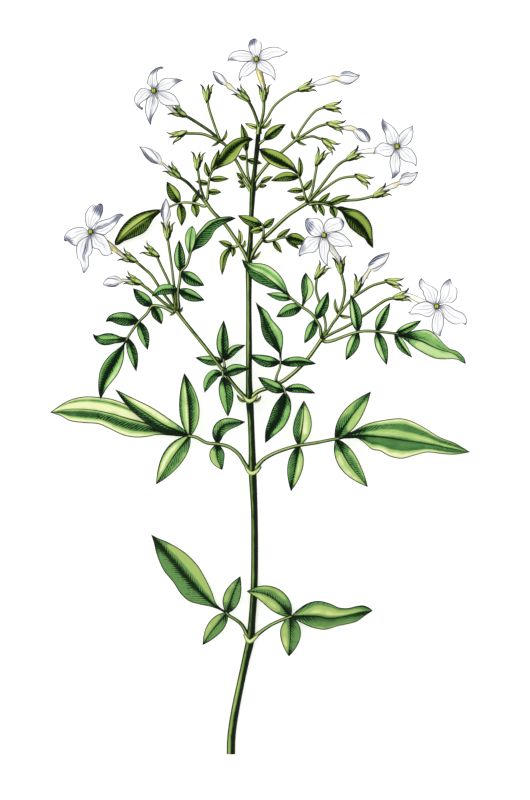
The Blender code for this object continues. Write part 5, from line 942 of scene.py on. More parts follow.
class Skin:
    """Closed bodies made of rings of points, gathered into one mesh object.

    Each point carries two attributes. Spot is the distance across from the middle line and the
    run along the piece, in mm, and the distance from its edge, in widths of its inked rim.
    Share is the place across from -1 to 1, the place along from 0 to 1, and the painted shade on it,
    from 0, pale as if lit, to 1, dark as if in shade, or a little more.
    """

    def __init__(self):
        self.points = []
        self.faces = []
        self.spots = []
        self.shares = []
        self.finishes = []
        self.count = 0

    def add(self, rings, spot, share, finish):
        """A body from rings of points, each joined to the next and the two ends closed.

        What would lie under the floor lies on it. The faces are turned over where the body's
        volume comes out negative, so that they all point outwards.
        """
        stations, around = rings.shape[:2]
        rings = rings.copy()
        rings[..., 2] = np.maximum(rings[..., 2], 0.0)
        i = np.arange(stations - 1)[:, None]
        j = np.arange(around)[None, :]
        here = i * around + j
        beside = i * around + (j + 1) % around
        quads = np.stack([here, beside, beside + around, here + around], axis=-1).reshape(-1, 4)
        flat = rings.reshape(-1, 3)
        a, b, c, d = (flat[quads[:, k]] for k in range(4))
        volume = np.sum(a * np.cross(b, c)) + np.sum(a * np.cross(c, d))
        foot = np.arange(around)[::-1]
        tip = np.arange(around) + (stations - 1) * around
        if volume < 0.0:
            quads = quads[:, ::-1]
            foot = foot[::-1]
            tip = tip[::-1]
        self.faces += (quads + self.count).tolist()
        self.faces += [(foot + self.count).tolist(), (tip + self.count).tolist()]
        self.finishes += [finish] * (len(quads) + 2)
        self.points.append(flat)
        self.spots.append(spot.reshape(-1, 3))
        self.shares.append(share.reshape(-1, 3))
        self.count += len(flat)

    def make(self, node, finishes):
        """The mesh object, which rides on the root and replaces its node."""
        name = node + "_dressed"
        mesh = bpy.data.meshes.new(name)
        mesh.from_pydata(np.vstack(self.points), [], self.faces)
        for label, values in (("spot", self.spots), ("share", self.shares)):
            layer = mesh.attributes.new(label, "FLOAT_VECTOR", "POINT")
            layer.data.foreach_set("vector", np.vstack(values).astype(np.float32).ravel())
        for finish in finishes:
            mesh.materials.append(finish)
        mesh.polygons.foreach_set("material_index", np.array(self.finishes, dtype=np.int32))
        mesh.shade_smooth()
        mesh.update()
        piece = show(name, mesh)
        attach(piece, "root")
        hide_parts(node)


def ring_frames(path):
    """The way along a path at each point, and two ways across it that turn as little as can be."""
    along = unit(np.gradient(path[:, :3], axis=0))
    over = UP - along[0] * along[0, 2]
    if np.linalg.norm(over) < 0.2:
        over = np.array([0.0, 1.0, 0.0]) - along[0] * along[0, 1]
    overs = []
    for way in along:
        over = over - way * np.dot(over, way)
        over = over / np.linalg.norm(over)
        overs.append(over)
    overs = np.array(overs)
    return along, np.cross(along, overs), overs


def side_shade(out, pale=0.1, dark=0.5):
    """The painted shade on a round piece: 0 where it faces the light and 1 where it faces away."""
    return smooth(0.5 - 0.5 * (out @ unit(LIGHT_FROM)), pale, dark)


def outline_distance(out, size, rim):
    """How far inside its outline from above a round piece is, in rim widths.

    It is radius times (1 - how level the surface's normal is), and is large again on the
    lower part of the flanks and the underside, which carry no ink.
    """
    level = np.linalg.norm(out[..., :2], axis=-1)
    return size * (1.0 - level) / (rim * MM) + 2.0 * smooth(out[..., 2], 0.36, 0.14)


def add_tube(skin, path, radii, finish, around=12, form=None, painted_shade=None, rim=STALK_RIM):
    """A tube: circles of the given radii carried along a path.

    The radius is multiplied by form(angle, t) where one is given. The painted shade is deepest on
    the side that faces away from the light, unless a function of (angle, t, out) is given for it, and
    loses 0.6 of itself towards the underside.
    """
    t = even_shares(path)[:, None]
    angle = ring_angles(around)
    every = np.ones((len(path), around))
    _, across, over = ring_frames(path)
    out = across[:, None, :] * np.cos(angle)[..., None] + over[:, None, :] * np.sin(angle)[..., None]
    size = np.asarray(radii, float).reshape(-1, 1) * every
    if form is not None:
        size = size * form(angle, t)
    rings = path[:, None, :3] + out * size[..., None]
    spot = np.stack([angle * size / MM, run_along(path)[:, None] * every / MM,
                     outline_distance(out, size, rim)], axis=-1)
    shade = side_shade(out) if painted_shade is None else painted_shade(angle, t, out)
    shade = shade * (1.0 - 0.6 * smooth(out[..., 2], 0.3, -0.2))
    share = np.stack([np.cos(angle) * every, t * every, shade * every], axis=-1)
    skin.add(rings, spot, share, finish)


def add_turned(skin, foot, along, profile, finish, around, ribs, rib_height):
    """A turned body: a profile of (distance along, radius) in mm spun round an axis.

    Ribs make the radius r times (1 + height times the cosine of ribs times the angle). The
    painted shade is deepest away from the light and in the valleys between the ribs, and the colour also
    deepens at the foot.
    """
    profile = np.asarray(profile, float) * MM
    across = unit(np.cross(along, UP))
    if np.linalg.norm(np.cross(along, UP)) < 0.1:
        across = np.array([1.0, 0.0, 0.0])
    over = np.cross(across, along)
    angle = ring_angles(around)
    out = across * np.cos(angle)[..., None] + over * np.sin(angle)[..., None]
    size = profile[:, 1:2] * (1.0 + rib_height * np.cos(ribs * angle))
    rings = foot + along * profile[:, 0, None, None] + out * size[..., None]
    spot = np.stack([angle * size / MM, profile[:, :1] * np.ones_like(angle) / MM,
                     outline_distance(out, size, STALK_RIM)], axis=-1)
    t = even_shares(profile)[:, None] * np.ones_like(angle)
    valley = 0.5 - 0.5 * np.cos(ribs * angle)
    shade = side_shade(out, 0.18, 0.54) + 0.6 * valley ** 3 + 0.55 * smooth(t, 0.26, 0.0)
    shade = np.clip(shade, 0.0, 1.0)
    skin.add(rings, spot, np.stack([np.cos(angle) * np.ones_like(size), t, shade], axis=-1), finish)


def leaflet_outline(t, peak=USUAL_PEAK, sharpness=USUAL_SHARPNESS):
    """Half a leaflet's width along it: (sin(pi t^k))^sharpness, with k set so it peaks at the peak."""
    return np.sin(np.pi * t ** (math.log(0.5) / math.log(peak))) ** sharpness


def even_sides(path, half):
    """The offsets from a path to its two margins where both lie half a width away, level."""
    along = np.gradient(path[:, :3], axis=0)
    right = unit(np.stack([along[:, 1], -along[:, 0], np.zeros(len(path))], axis=1)) * half[:, None]
    return -right, right


def level_margin(points, count):
    """A margin's plan points as evenly spaced points at height 0."""
    return even_points(place([(*point, 0.0) for point in points]), count)


def measured_sides(path, margins, least):
    """The level offsets from a path to two margins that are given as plan points.

    Where a margin is nearer than the least distance, the offset has that distance, square
    to the path.
    """
    offsets = []
    for points, even in zip(margins, even_sides(path, least)):
        offset = level_margin(points, len(path)) - path[:, :3]
        offset[:, 2] = 0.0
        near = np.linalg.norm(offset, axis=1) < least
        offsets.append(np.where(near[:, None], even, offset))
    return offsets


def add_blade(skin, path, sides, thickness, finish, rise, painted_shade, columns=BLADE_COLUMNS, rim=BLADE_RIM):
    """A thin blade between two margins: folded, waved and thickened by formula.

    The place across runs from -1 at the left margin to 1 at the right one, over the top, and
    back underneath, and a point lies on the path plus |across| times the offset to its margin.
    The top stands above the path by rise(across, t, half), and the blade is thickness times
    (1 - 0.75 |across|^6) thick, down to 0.35 of that where it is narrow. The distance from the
    edge is the one to the margin, or 0.4 of the run to the tip where that is less.
    """
    t = even_shares(path)[:, None]
    top = np.sin(0.5 * np.pi * np.linspace(-1.0, 1.0, columns))
    across = np.concatenate([top, top[::-1]])[None, :]
    under = np.concatenate([np.zeros(columns), np.ones(columns)])[None, :]
    offset = np.where((across < 0.0)[..., None], sides[0][:, None, :], sides[1][:, None, :])
    half = np.linalg.norm(offset, axis=-1)
    narrow = np.clip(half / (2.2 * thickness * MM), 0.35, 1.0)
    wall = thickness * (1.0 - 0.75 * np.abs(across) ** 6) * narrow
    height = rise(across, t, half) + (0.5 - under) * wall * MM
    rings = path[:, None, :3] + offset * np.abs(across)[..., None]
    rings[..., 2] += height
    off = np.abs(across) * half / MM
    run = run_along(path)[:, None] * np.ones_like(across) / MM
    edge = np.minimum(half / MM - off, 0.4 * (run[-1] - run)) / rim
    spot = np.stack([np.sign(across) * off, run, edge], axis=-1)
    shade = painted_shade(across, t, under)
    share = np.stack([across * np.ones_like(t), t * np.ones_like(across), shade], axis=-1)
    skin.add(rings, spot, share, finish)


def pale_side(path):
    """1 where the right half of a blade faces the plate's light, otherwise -1."""
    way = path[-1, :2] - path[0, :2]
    right = np.array([way[1], -way[0]])
    return 1.0 if np.dot(right, PALE_FROM) > 0.0 else -1.0


def leaflet_light_and_shade(left, right, base_dark, tip_dark):
    """A leaflet's painted light and shade, from a row of tones across each half and its two ends.

    The tones are joined by straight lines, the ends are added, and the underside is paler.
    """
    def painted_shade(across, t, under):
        off = np.abs(across)
        tones = [np.interp(off, np.linspace(0.1, 0.9, len(half)), half) for half in (left, right)]
        shade = np.where(across < 0.0, tones[0], tones[1])
        shade = shade + base_dark * smooth(t, 0.34, 0.04) + tip_dark * smooth(t, 0.72, 0.98)
        return np.clip(shade * (1.0 - 0.35 * under), 0.0, 1.3)
    return painted_shade


def usual_light_and_shade(pale, leaf, number, width):
    """The painted light and shade of a leaflet that has none of its own: one half pale, as lit, and the
    other deep, as in shade.

    The tones vary a little from leaflet to leaflet, by the sine of the leaflet's number, narrow
    leaflets are paler, and some leaves are darker or paler as a whole.
    """
    turn = math.sin(12.9 * number + 4.1 * len(leaf))
    young = YOUNG_TONE if width < YOUNG_WIDTH else 1.0
    darker = LEAF_TONES.get(leaf, 0.0)
    deep = np.array((1.2, 0.72, 0.56 + 0.1 * turn, 0.66 - 0.1 * turn)) * young + darker
    light = np.array((0.62, 0.2 - 0.08 * turn, 0.2, 0.54 + 0.14 * turn)) * young + darker
    left, right = (deep, light) if pale > 0.0 else (light, deep)
    return left, right, 0.6 * young, (0.45 + 0.15 * turn) * young


def leaflet_rise(width_mm, length, fold, wave):
    """How a leaflet's top stands above its path: folded up along the midrib, waved, veined.

    The fold is a share of the distance from the midrib, the wave is one sine along the blade
    that lifts one margin and lowers the other, the midrib is a shallow channel, and each side
    vein is a shallow groove that leaves the midrib forwards.
    """
    def rise(across, t, half):
        off = np.abs(across) * half
        lift = off * fold + across * half * wave * np.sin(2.0 * np.pi * t)
        phase = (t * length - off * VEIN_SLOPE) / (VEIN_SPACING * MM)
        groove = np.cos(2.0 * np.pi * phase) * VEIN_RELIEF * MM * smooth(off, 0.0, 1.2 * MM)
        midrib = -0.1 * MM * np.exp(-(off / (0.35 * MM)) ** 2)
        return lift + groove * min(width_mm / 6.0, 1.0) + midrib
    return rise


def rooted(stalk, parent):
    """A stalk's points, led from the nearest point of its parent's axis where it starts beside it."""
    axis = MAIN_STEM if parent == "main_stem" else SHOOTS[parent]["axis"]
    axis = even_points(place([point[:3] for point in axis]), 200)
    points = place(stalk)
    apart = np.linalg.norm(axis - points[0], axis=1)
    if apart.min() < STALK_JOIN * MM:
        return points
    return np.vstack([axis[apart.argmin()], points])


def add_leaflet(skin, leaf, number, points, width, *form):
    """A leaflet: a blade with even margins by formula, or with measured ones."""
    length = run_along(even_points(place(points), 24))[-1]
    rows = int(np.clip(length / (BLADE_STEP * MM), *BLADE_ROWS))
    path = even_points(place(points), rows)
    t = even_shares(path)
    half = np.maximum(0.5 * width * PIXEL * leaflet_outline(t, *form), BLADE_TIP_HALF * MM)
    least = (GREAT_ROOT_HALF if width > GREAT_WIDTH else ROOT_HALF) * MM * smooth(t, 0.25, 0.0)
    sides = even_sides(path, np.maximum(half, least))
    if (leaf, number) in LEAFLET_MARGINS:
        margins = [[*side, points[-1][:2]] for side in LEAFLET_MARGINS[leaf, number]]
        sides = measured_sides(path, margins, least)
    width_mm = width * PIXEL / MM
    rise = leaflet_rise(width_mm, length,
                        fold=BLADE_FOLD if width_mm > FOLDED_WIDTH_MM else SMALL_BLADE_FOLD,
                        wave=BROAD_BLADE_WAVE if width > BROAD_WIDTH else BLADE_WAVE)
    usual = usual_light_and_shade(pale_side(path), leaf, number, width)
    painted_shade = leaflet_light_and_shade(*LEAFLET_LIGHT_AND_SHADE.get(leaf, {}).get(number, usual))
    add_blade(skin, path, sides, BLADE_THICKNESS, 0, rise, painted_shade,
              columns=BROAD_BLADE_COLUMNS if width > BROAD_WIDTH else BLADE_COLUMNS,
              rim=BLADE_RIM if width > RIMMED_WIDTH else SMALL_BLADE_RIM)


def make_leaf(name, plan, finishes):
    """A leaf: its stalk, which is swollen at its foot and thins along the way, and its leaflets."""
    parent, radius_mm, stalk, leaflets = plan
    skin = Skin()
    path = even_points(rooted(stalk, parent), max(12, 4 * len(stalk)))
    run = run_along(path) / MM
    radii = radius_mm * MM * (np.linspace(1.1, 0.85, len(path)) + 0.5 * np.exp(-run / 2.0))
    # The stalk's painted shade: deepest on the side that faces away from the light
    dark = 0.5 if name.startswith(("high", "crown", "top")) else 0.6
    add_tube(skin, path, radii, 1, rim=0.55 * radius_mm,
             painted_shade=lambda angle, t, out: side_shade(out, dark=dark))
    for number, leaflet in enumerate(leaflets):
        add_leaflet(skin, name, number, *leaflet)
    skin.make(name, finishes)


def add_bract(skin, points, width, finish):
    """A scale bract: a small blade, cupped across by 0.2 of the distance from its middle."""
    path = even_points(place(points), 14)
    t = even_shares(path)
    half = np.maximum(0.5 * width * PIXEL * leaflet_outline(t), BLADE_TIP_HALF * MM)
    half = np.maximum(half, BRACT_ROOT_HALF * MM * smooth(t, 0.3, 0.0))
    add_blade(skin, path, even_sides(path, half), BLADE_THICKNESS, finish,
              lambda across, t, half: 0.2 * np.abs(across) * half, leaflet_light_and_shade(*BRACT_LIGHT_AND_SHADE),
              columns=7, rim=BRACT_RIM)


def calyx_frame(base, aim):
    """A calyx's foot, the way it points, and two ways across it."""
    foot, target = place([base, aim])
    along = unit(target - foot)
    across = unit(np.cross(along, UP))
    return foot, along, across, np.cross(across, along)


def calyx_of(shoot, number):
    """A calyx's foot, the way it points, and where the tube that stands in it starts."""
    foot, along, _, _ = calyx_frame(*SHOOTS[shoot]["calyxes"][number])
    return foot, along, foot + along * (TUBE_START * MM)


def add_calyx(skin, base, aim, finish):
    """A calyx: a hollow ribbed cup on its stalk's end and five awl-shaped teeth that hook outwards.

    Each tooth is a tube of falling radii along a curve through TOOTH_PATH, and darker to its tip.
    """
    foot, along, across, over = calyx_frame(base, aim)
    add_turned(skin, foot, along, CUP_PROFILE, finish, around=20, ribs=CUP_RIBS, rib_height=0.05)
    mouth = foot + along * (CUP_LENGTH * MM)
    for k in range(TEETH):
        turn = 2.0 * math.pi * k / TEETH
        out = across * math.cos(turn) + over * math.sin(turn)
        path = np.array([mouth + along * (beyond * MM) + out * ((CUP_RADIUS + outside) * MM)
                         for beyond, outside in TOOTH_PATH])
        path = even_points(path, len(TOOTH_RADII))
        # A tooth's painted shade: deepest away from the light, and darker towards its tip
        add_tube(skin, path, np.array(TOOTH_RADII) * MM, finish, around=8,
                 painted_shade=lambda angle, t, out: side_shade(out, 0.2, 0.62) + 0.6 * smooth(t, 0.45, 0.95))


def make_shoot(name, plan, finishes):
    """A shoot: a four-ridged axis, swollen at its ends, its flower stalks, bracts and calyxes.

    A flower stalk is a third thicker at its foot, and those of a deeper colour are thicker.
    """
    skin = Skin()
    axis = even_points(place(plan["axis"]), 40)
    run = run_along(axis) / MM
    radius = 0.5 * plan["width"] * PIXEL
    radii = radius * (np.linspace(1.05, 0.92, len(axis)) + 0.45 * np.exp(-run / 1.8)
                      + 0.35 * np.exp(-(run[-1] - run) / 1.2))
    add_tube(skin, axis, radii, 0, around=16, form=lambda angle, t: 1.0 + 0.05 * np.cos(4.0 * angle))
    for number, points in enumerate(plan["stalks"]):
        path = even_points(place(points), 8 * len(points))
        run = run_along(path) / MM
        # A flower stalk's painted shade: deepest away from the light, with its deeper tone added
        deeper = STALK_TONES.get(name, {}).get(number, 0.0)
        radii = (FLOWER_STALK + 0.5 * deeper) * MM * (1.0 + 0.35 * np.exp(-run / 1.5))
        add_tube(skin, path, radii, 0,
                 painted_shade=lambda angle, t, out, deeper=deeper: np.clip(side_shade(out) + deeper, 0.0, 1.0))
    for points, width in plan["bracts"]:
        add_bract(skin, points, width, 1)
    for base, aim in plan["calyxes"]:
        add_calyx(skin, base, aim, 2)
    skin.make(name, finishes)


def make_main_stem(finishes):
    """The main stem: four-ridged, swollen at its joints, with pale collars, and cut at its foot.

    The side that faces away from the light is painted dark, and the table of the stem's painted shade adds
    to that along the way.
    A collar's radius swells by 0.45 sin(pi t) mm to its middle.
    """
    skin = Skin()
    path = even_points(place(MAIN_STEM), 150)
    radii = 0.5 * PIXEL * path[:, 3]

    def shade(angle, t, out):
        return np.clip(side_shade(out, 0.1, 0.46) + np.interp(t, *zip(*STEM_PAINTED_SHADE)), 0.0, 1.0)

    add_tube(skin, path, radii, 0, around=24, form=lambda angle, t: 1.0 + 0.035 * np.cos(4.0 * angle),
             painted_shade=shade, rim=STEM_RIM)
    for points, width in STEM_BRACTS:
        add_bract(skin, points, width, 1)
    for points in COLLARS:
        path = even_points(place(points), 25)
        t = even_shares(path)
        radii = (0.55 + 0.45 * np.sin(np.pi * t)) * MM
        # A collar's painted shade starts only far round on the side away from the light
        add_tube(skin, path, radii, 2, painted_shade=lambda angle, t, out: side_shade(out, 0.45, 0.8))
    skin.make("main_stem", finishes)


def petal_painted_shade(tip_dark, start, side, middle_dark):
    """A petal's painted shade: round the throat, along the middle and at the tip.

    The tip is given painted shade from the start on, soonest on the given side, where the margin is
    given painted shade from the middle of the petal on.
    """
    def painted_shade(across, t, under):
        throat = 0.72 * np.exp(-(t / 0.15) ** 2) + 0.16 * np.exp(-(t / 0.38) ** 2) * (1.0 - across ** 2)
        middle = middle_dark * np.exp(-((across + 0.15) / 0.3) ** 2)
        middle = middle * smooth(t, 0.0, 0.25) * smooth(t, 0.92, 0.6)
        lean = np.clip(0.85 + 0.75 * side * across, 0.0, 1.0)
        tip = tip_dark * lean * smooth(t + 0.1 * across * side, start, min(start + 0.28, 0.97))
        margin = abs(side) * tip_dark * 0.4 * smooth(across * np.sign(side), 0.45, 1.0)
        margin = margin * smooth(t, 0.35, 0.6)
        return np.clip(throat + middle + tip + margin + 0.1 * under, 0.0, 1.0)
    return painted_shade


def petal_rise(across, t, half):
    """How a petal stands above its path: cupped at the claw, rolled down at the margins, twisted.

    The cup goes with the square of the place across, the roll with its fourth power and the
    twist with the place itself, and a narrow channel runs along the middle.
    """
    cup = 0.25 * across ** 2 * half * (1.0 - 1.6 * t)
    roll = -0.18 * across ** 4 * half * smooth(t, 0.3, 1.0)
    turn = 0.1 * across * half * np.sin(np.pi * t)
    channel = -0.06 * MM * np.exp(-(across / 0.12) ** 2)
    return cup + roll + turn + channel


def between(left, right, count):
    """The path midway between two margins in plan, level, and the offsets from it to each."""
    margins = [level_margin(points, count) for points in (left, right)]
    path = 0.5 * (margins[0] + margins[1])
    return path, (margins[0] - path, margins[1] - path)


def make_flower(number, plan, finishes):
    """An open corolla: a bent tube, a hollow throat and five petals.

    The tube runs straight out of its calyx, then bends up to the throat. A petal's path arches
    as PETAL_ARCH sin(pi t) mm above the line from the throat to its tip.
    """
    shoot, calyx_number, centre, petals = plan
    foot, along, inside = calyx_of(shoot, calyx_number)
    throat = place([centre])[0]
    start = foot + along * (CUP_LENGTH * MM)
    rise = throat[2] - start[2]
    flat = np.array([throat[0] - start[0], throat[1] - start[1], 0.0])
    below = throat - UP * 0.42 * rise - flat * 0.03
    lip = throat - UP * (0.2 * MM)
    path = even_points(np.array([inside, start, start + along * (TUBE_STRAIGHT * MM),
                                 start + flat * 0.62 + UP * 0.45 * rise, below, lip]), 40)
    t = even_shares(path)
    radii = TUBE_FOOT_RADIUS + (TUBE_MOUTH_RADIUS - TUBE_FOOT_RADIUS) * smooth(t, 0.05, 0.6)
    skin = Skin()
    add_tube(skin, path, radii * MM, 1, around=20, form=lambda angle, t: 1.0 + 0.03 * np.cos(5.0 * angle))
    add_turned(skin, throat, UP, LIP_PROFILE, 2, around=25, ribs=5, rib_height=0.05)
    for left, right, tip_height, *tones in petals:
        inner = [[middle + PETAL_CLAW * (first - middle) for middle, first in zip(centre, side[0])]
                 for side in (left, right)]
        path, sides = between([inner[0], *left], [inner[1], *right], PETAL_ROWS)
        t = even_shares(path)
        heights = (throat[2] / MM - 0.1) * (1.0 - t) + tip_height * t + PETAL_ARCH * np.sin(np.pi * t)
        path[:, 2] = heights * MM
        add_blade(skin, path, sides, PETAL_THICKNESS, 0, petal_rise, petal_painted_shade(*tones),
                  columns=PETAL_COLUMNS, rim=PETAL_RIM)
    skin.make(f"flower_{number}", finishes)


def make_anthers(number, plan, finish):
    """Two pollen sacs side by side in the throat, each a pod with a groove along it.

    The radius goes with the square root of sin(pi t), and the groove is a bell curve cut 0.22
    deep into the top.
    """
    throat = place([plan[2]])[0]
    skin = Skin()
    for side in (-1.0, 1.0):
        middle = throat + np.array([side * 0.75 * ANTHER_RADIUS, 0.0, ANTHER_HEIGHT]) * MM
        reach = np.array([0.0, ANTHER_LENGTH, 0.0]) * MM
        path = even_points(np.array([middle - reach, middle, middle + reach]), 13)
        t = even_shares(path)
        radii = ANTHER_RADIUS * MM * np.maximum(np.sin(np.pi * t) ** 0.5, 0.06)
        add_tube(skin, path, radii, 0, around=14,
                 form=lambda angle, t: 1.0 - 0.22 * np.exp(-((angle - 0.5 * np.pi) / 0.35) ** 2))
    skin.make(f"flower_{number}_anthers", [finish])


def make_bud(number, plan, finish):
    """A closed corolla: a slender tube that swells to a pointed bud of petals rolled together.

    The radius is half the distance between the two measured sides, times 1 + BUD_OVERLAP times
    a saw-edged wave of five turns that twists along the bud, so that each petal's margin stands
    over the next one. The first number of spot is the share of cream, a bell curve where the
    tube meets the swelling, and the first of share counts the petals round the bud.
    """
    shoot, calyx_number, left, right, heights, neck, shaded = plan
    _, _, inside = calyx_of(shoot, calyx_number)
    body, sides = between(left, [*right, left[-1]], BUD_ROWS)
    share = even_shares(body)
    body[:, 2] = np.interp(share, (0.0, 0.5, 1.0), heights) * MM
    path = np.vstack([np.linspace(inside, body[0], BUD_ROOT_ROWS, endpoint=False), body])
    half = np.linalg.norm(sides[0], axis=1) / MM
    half[-1] = BUD_TIP_RADIUS
    root = np.linspace(TUBE_FOOT_RADIUS, half[0], BUD_ROOT_ROWS, endpoint=False)
    radii = np.concatenate([root, half])
    share = np.concatenate([np.zeros(BUD_ROOT_ROWS), share])[:, None]
    swell = smooth(share, neck, neck + 0.12)
    to_right = unit(np.concatenate([np.repeat(sides[1][:1], BUD_ROOT_ROWS, axis=0), sides[1]]))

    def petals_round(angle):
        return BUD_PETALS * ((angle / (2.0 * np.pi) + 0.25) % 1.0) + BUD_TWIST * share

    def rolled(angle, t):
        return 1.0 + BUD_OVERLAP * (petals_round(angle) % 1.0 - 0.5) * swell

    # The bud's painted shade: deep on its shaded side and towards the tip of the swelling, faint on the tube
    def shade(angle, t, out):
        across = np.sum(out * to_right[:, None, :], axis=-1)
        away = smooth(across * math.copysign(1.0, shaded), -0.1, 0.9) * abs(shaded)
        tip = 0.8 * smooth(share, 0.86, 1.0)
        return np.clip((1.25 * away + tip) * swell + 0.15 * away + 0.04, 0.0, 1.0)

    skin = Skin()
    add_tube(skin, path, radii * MM, 0, around=BUD_AROUND, form=rolled, painted_shade=shade, rim=PETAL_RIM)
    skin.shares[0][:, 0] = petals_round(ring_angles(BUD_AROUND)).ravel()
    cream = np.exp(-((share - 0.82 * neck) / 0.13) ** 2) * (1.0 - swell)
    skin.spots[0][:, 0] = np.repeat(cream, BUD_AROUND)
    skin.make(f"bud_{number}", [finish])


def tint(colour):
    """The paint that looks like a screen colour, given as 0 to 255, under the stage's light.

    A number above 255 is painted light, for a piece that lies in the shade of another.
    """
    share = np.array(colour) / 255.0
    linear = np.where(share <= 0.04045, share / 12.92, ((share + 0.055) / 1.055) ** 2.4)
    return (*(linear / STAGE_LIGHT).tolist(), 1.0)


class Finish:
    """A material's nodes, built one by one and wired as they are made."""

    def __init__(self, name, roughness, specular):
        self.material = bpy.data.materials.new(name)
        self.material.use_nodes = True
        self.tree = self.material.node_tree
        self.shader = self.tree.nodes["Principled BSDF"]
        self.shader.inputs["Roughness"].default_value = roughness
        self.shader.inputs["Specular IOR Level"].default_value = specular

    def node(self, kind, inputs=(), **settings):
        """A node of a kind with its settings; each input is a value or another's socket."""
        made = self.tree.nodes.new("ShaderNode" + kind)
        for label, value in settings.items():
            setattr(made, label, value)
        for label, value in dict(inputs).items():
            if isinstance(value, bpy.types.NodeSocket):
                self.tree.links.new(value, made.inputs[label])
            else:
                made.inputs[label].default_value = value
        return made

    def parts(self, label):
        """The three numbers of a piece's attribute."""
        read = self.node("Attribute", attribute_name=label)
        split = self.node("SeparateXYZ", {"Vector": read.outputs["Vector"]})
        return tuple(split.outputs)

    def calc(self, operation, first, second=0.0):
        """One sum, product or other operation on numbers."""
        return self.node("Math", {0: first, 1: second}, operation=operation).outputs[0]

    def plus(self, first, second):
        """One number added to another."""
        return self.calc("ADD", first, second)

    def minus(self, first, second):
        """The second number taken from the first."""
        return self.calc("SUBTRACT", first, second)

    def times(self, first, second):
        """One number multiplied by another."""
        return self.calc("MULTIPLY", first, second)

    def fade(self, value, start, end):
        """0 at the start and 1 at the end, smoothly between, in either order."""
        low, high = sorted((start, end))
        ends = (0.0, 1.0) if start < end else (1.0, 0.0)
        made = self.node("MapRange", {"Value": value, "From Min": low, "From Max": high,
                                      "To Min": ends[0], "To Max": ends[1]}, interpolation_type="SMOOTHSTEP")
        return made.outputs["Result"]

    def grain(self, scale, detail):
        """Noise from 0 to 1 on the object's own coordinates, scale cells to the metre."""
        where = self.node("TexCoord").outputs["Object"]
        return self.node("TexNoise", {"Vector": where, "Scale": scale, "Detail": detail}).outputs[0]

    def swing(self, noise, reach):
        """Noise moved to swing round 0, over the given reach from end to end."""
        return self.times(self.minus(noise, 0.5), reach)

    def streaks(self, off, run, rates, detail):
        """Noise drawn out along a piece: the mm across and along it, each times its own rate."""
        where = self.node("CombineXYZ", {"X": self.times(off, rates[0]), "Y": self.times(run, rates[1])})
        noise = self.node("TexNoise", {"Vector": where.outputs[0], "Scale": 1.0, "Detail": detail})
        return noise.outputs[0]

    def wave(self, turns):
        """A saw-toothed wave, 1 at each whole turn and 0 half way to the next."""
        return self.times(self.calc("ABSOLUTE", self.minus(self.calc("FRACT", turns), 0.5)), 2.0)

    def strokes(self, wave, reach, spread):
        """1 where a wave is lower than the reach and 0 where it is higher, with a soft edge."""
        return self.fade(self.minus(wave, reach), spread, -spread)

    def ramp(self, value, stops):
        """A colour along stops of (place, colour)."""
        made = self.node("ValToRGB", {"Fac": value})
        band = made.color_ramp
        for at, colour in stops[1:-1]:
            band.elements.new(at).color = colour
        band.elements[0].position, band.elements[0].color = stops[0]
        band.elements[-1].position, band.elements[-1].color = stops[-1]
        return made.outputs["Color"]

    def blend(self, share, first, second):
        """The first colour turned into the second by a share."""
        return self.node("Mix", {0: share, 6: first, 7: second}, data_type="RGBA").outputs[2]

    def cover(self, colour, ink, share, strength):
        """A colour covered with an ink by a share, up to a strength."""
        return self.blend(self.times(share, strength), colour, ink)

    def relief(self, height, depth_mm, strength=0.6):
        """A bump, so many mm deep, from a height between 0 and 1."""
        made = self.node("Bump", {"Height": height, "Strength": strength, "Distance": depth_mm * MM})
        self.tree.links.new(made.outputs["Normal"], self.shader.inputs["Normal"])

    def colour(self, socket):
        """The finished colour goes to the surface."""
        self.tree.links.new(socket, self.shader.inputs["Base Color"])
        return self.material


def leaf_finish(name, hatch_start, *colours):
    """A leaf blade: washed from pale to deep by painted shade, hatched with strokes of painted shade that
    follow the side veins, and rimmed.

    The hatching's strokes leave the midrib forwards and grow wider as the painted shade deepens, until they
    meet where the blade is darkest. The midrib's line narrows by the square of the way left.
    """
    made = Finish(name, 0.6, LEAF_SPECULAR)
    pale, light, middle, deep, dark = map(tint, colours)
    off, run, edge = made.parts("spot")
    _, along, painted_shade = made.parts("share")
    tooth = made.grain(LEAF_TOOTH, 3.0)
    # Painted shade, made uneven by random blotches
    painted_shade = made.plus(painted_shade, made.swing(made.grain(LEAF_BLOTCHES, 2.0), 0.34))
    wash = made.ramp(painted_shade, [(0.1, pale), (0.25, light), (0.4, light), (0.54, middle), (0.78, middle),
                             (0.96, deep)])
    away = made.calc("ABSOLUTE", off)
    slant = made.minus(run, made.times(away, VEIN_SLOPE))
    wobble = made.times(made.grain(STROKE_WOBBLE, 1.0), 1.1)
    wave = made.wave(made.plus(made.calc("DIVIDE", slant, HATCH_PITCH), wobble))
    broken = made.swing(made.grain(STROKE_BREAKS, 1.0), 0.9)
    reach = made.times(made.minus(painted_shade, hatch_start), 1.9)
    reach = made.plus(reach, made.minus(broken, 0.2))
    colour = made.cover(wash, dark, made.strokes(wave, reach, 0.2), STROKE_COVER)
    rib_width = made.calc("POWER", made.minus(1.0, along), 2.0)
    rib_width = made.plus(made.times(rib_width, 0.5), 0.14)
    midrib = made.fade(made.calc("DIVIDE", away, rib_width), 1.25, 0.7)
    midrib = made.times(midrib, made.fade(along, 1.0, 0.85))
    colour = made.cover(colour, dark, midrib, 0.95)
    colour = made.cover(colour, INK, made.fade(edge, *LEAF_RIM_FADE), RIM_COVER)
    made.relief(made.plus(made.times(wave, 0.4), tooth), 0.12)
    return made.colour(colour)


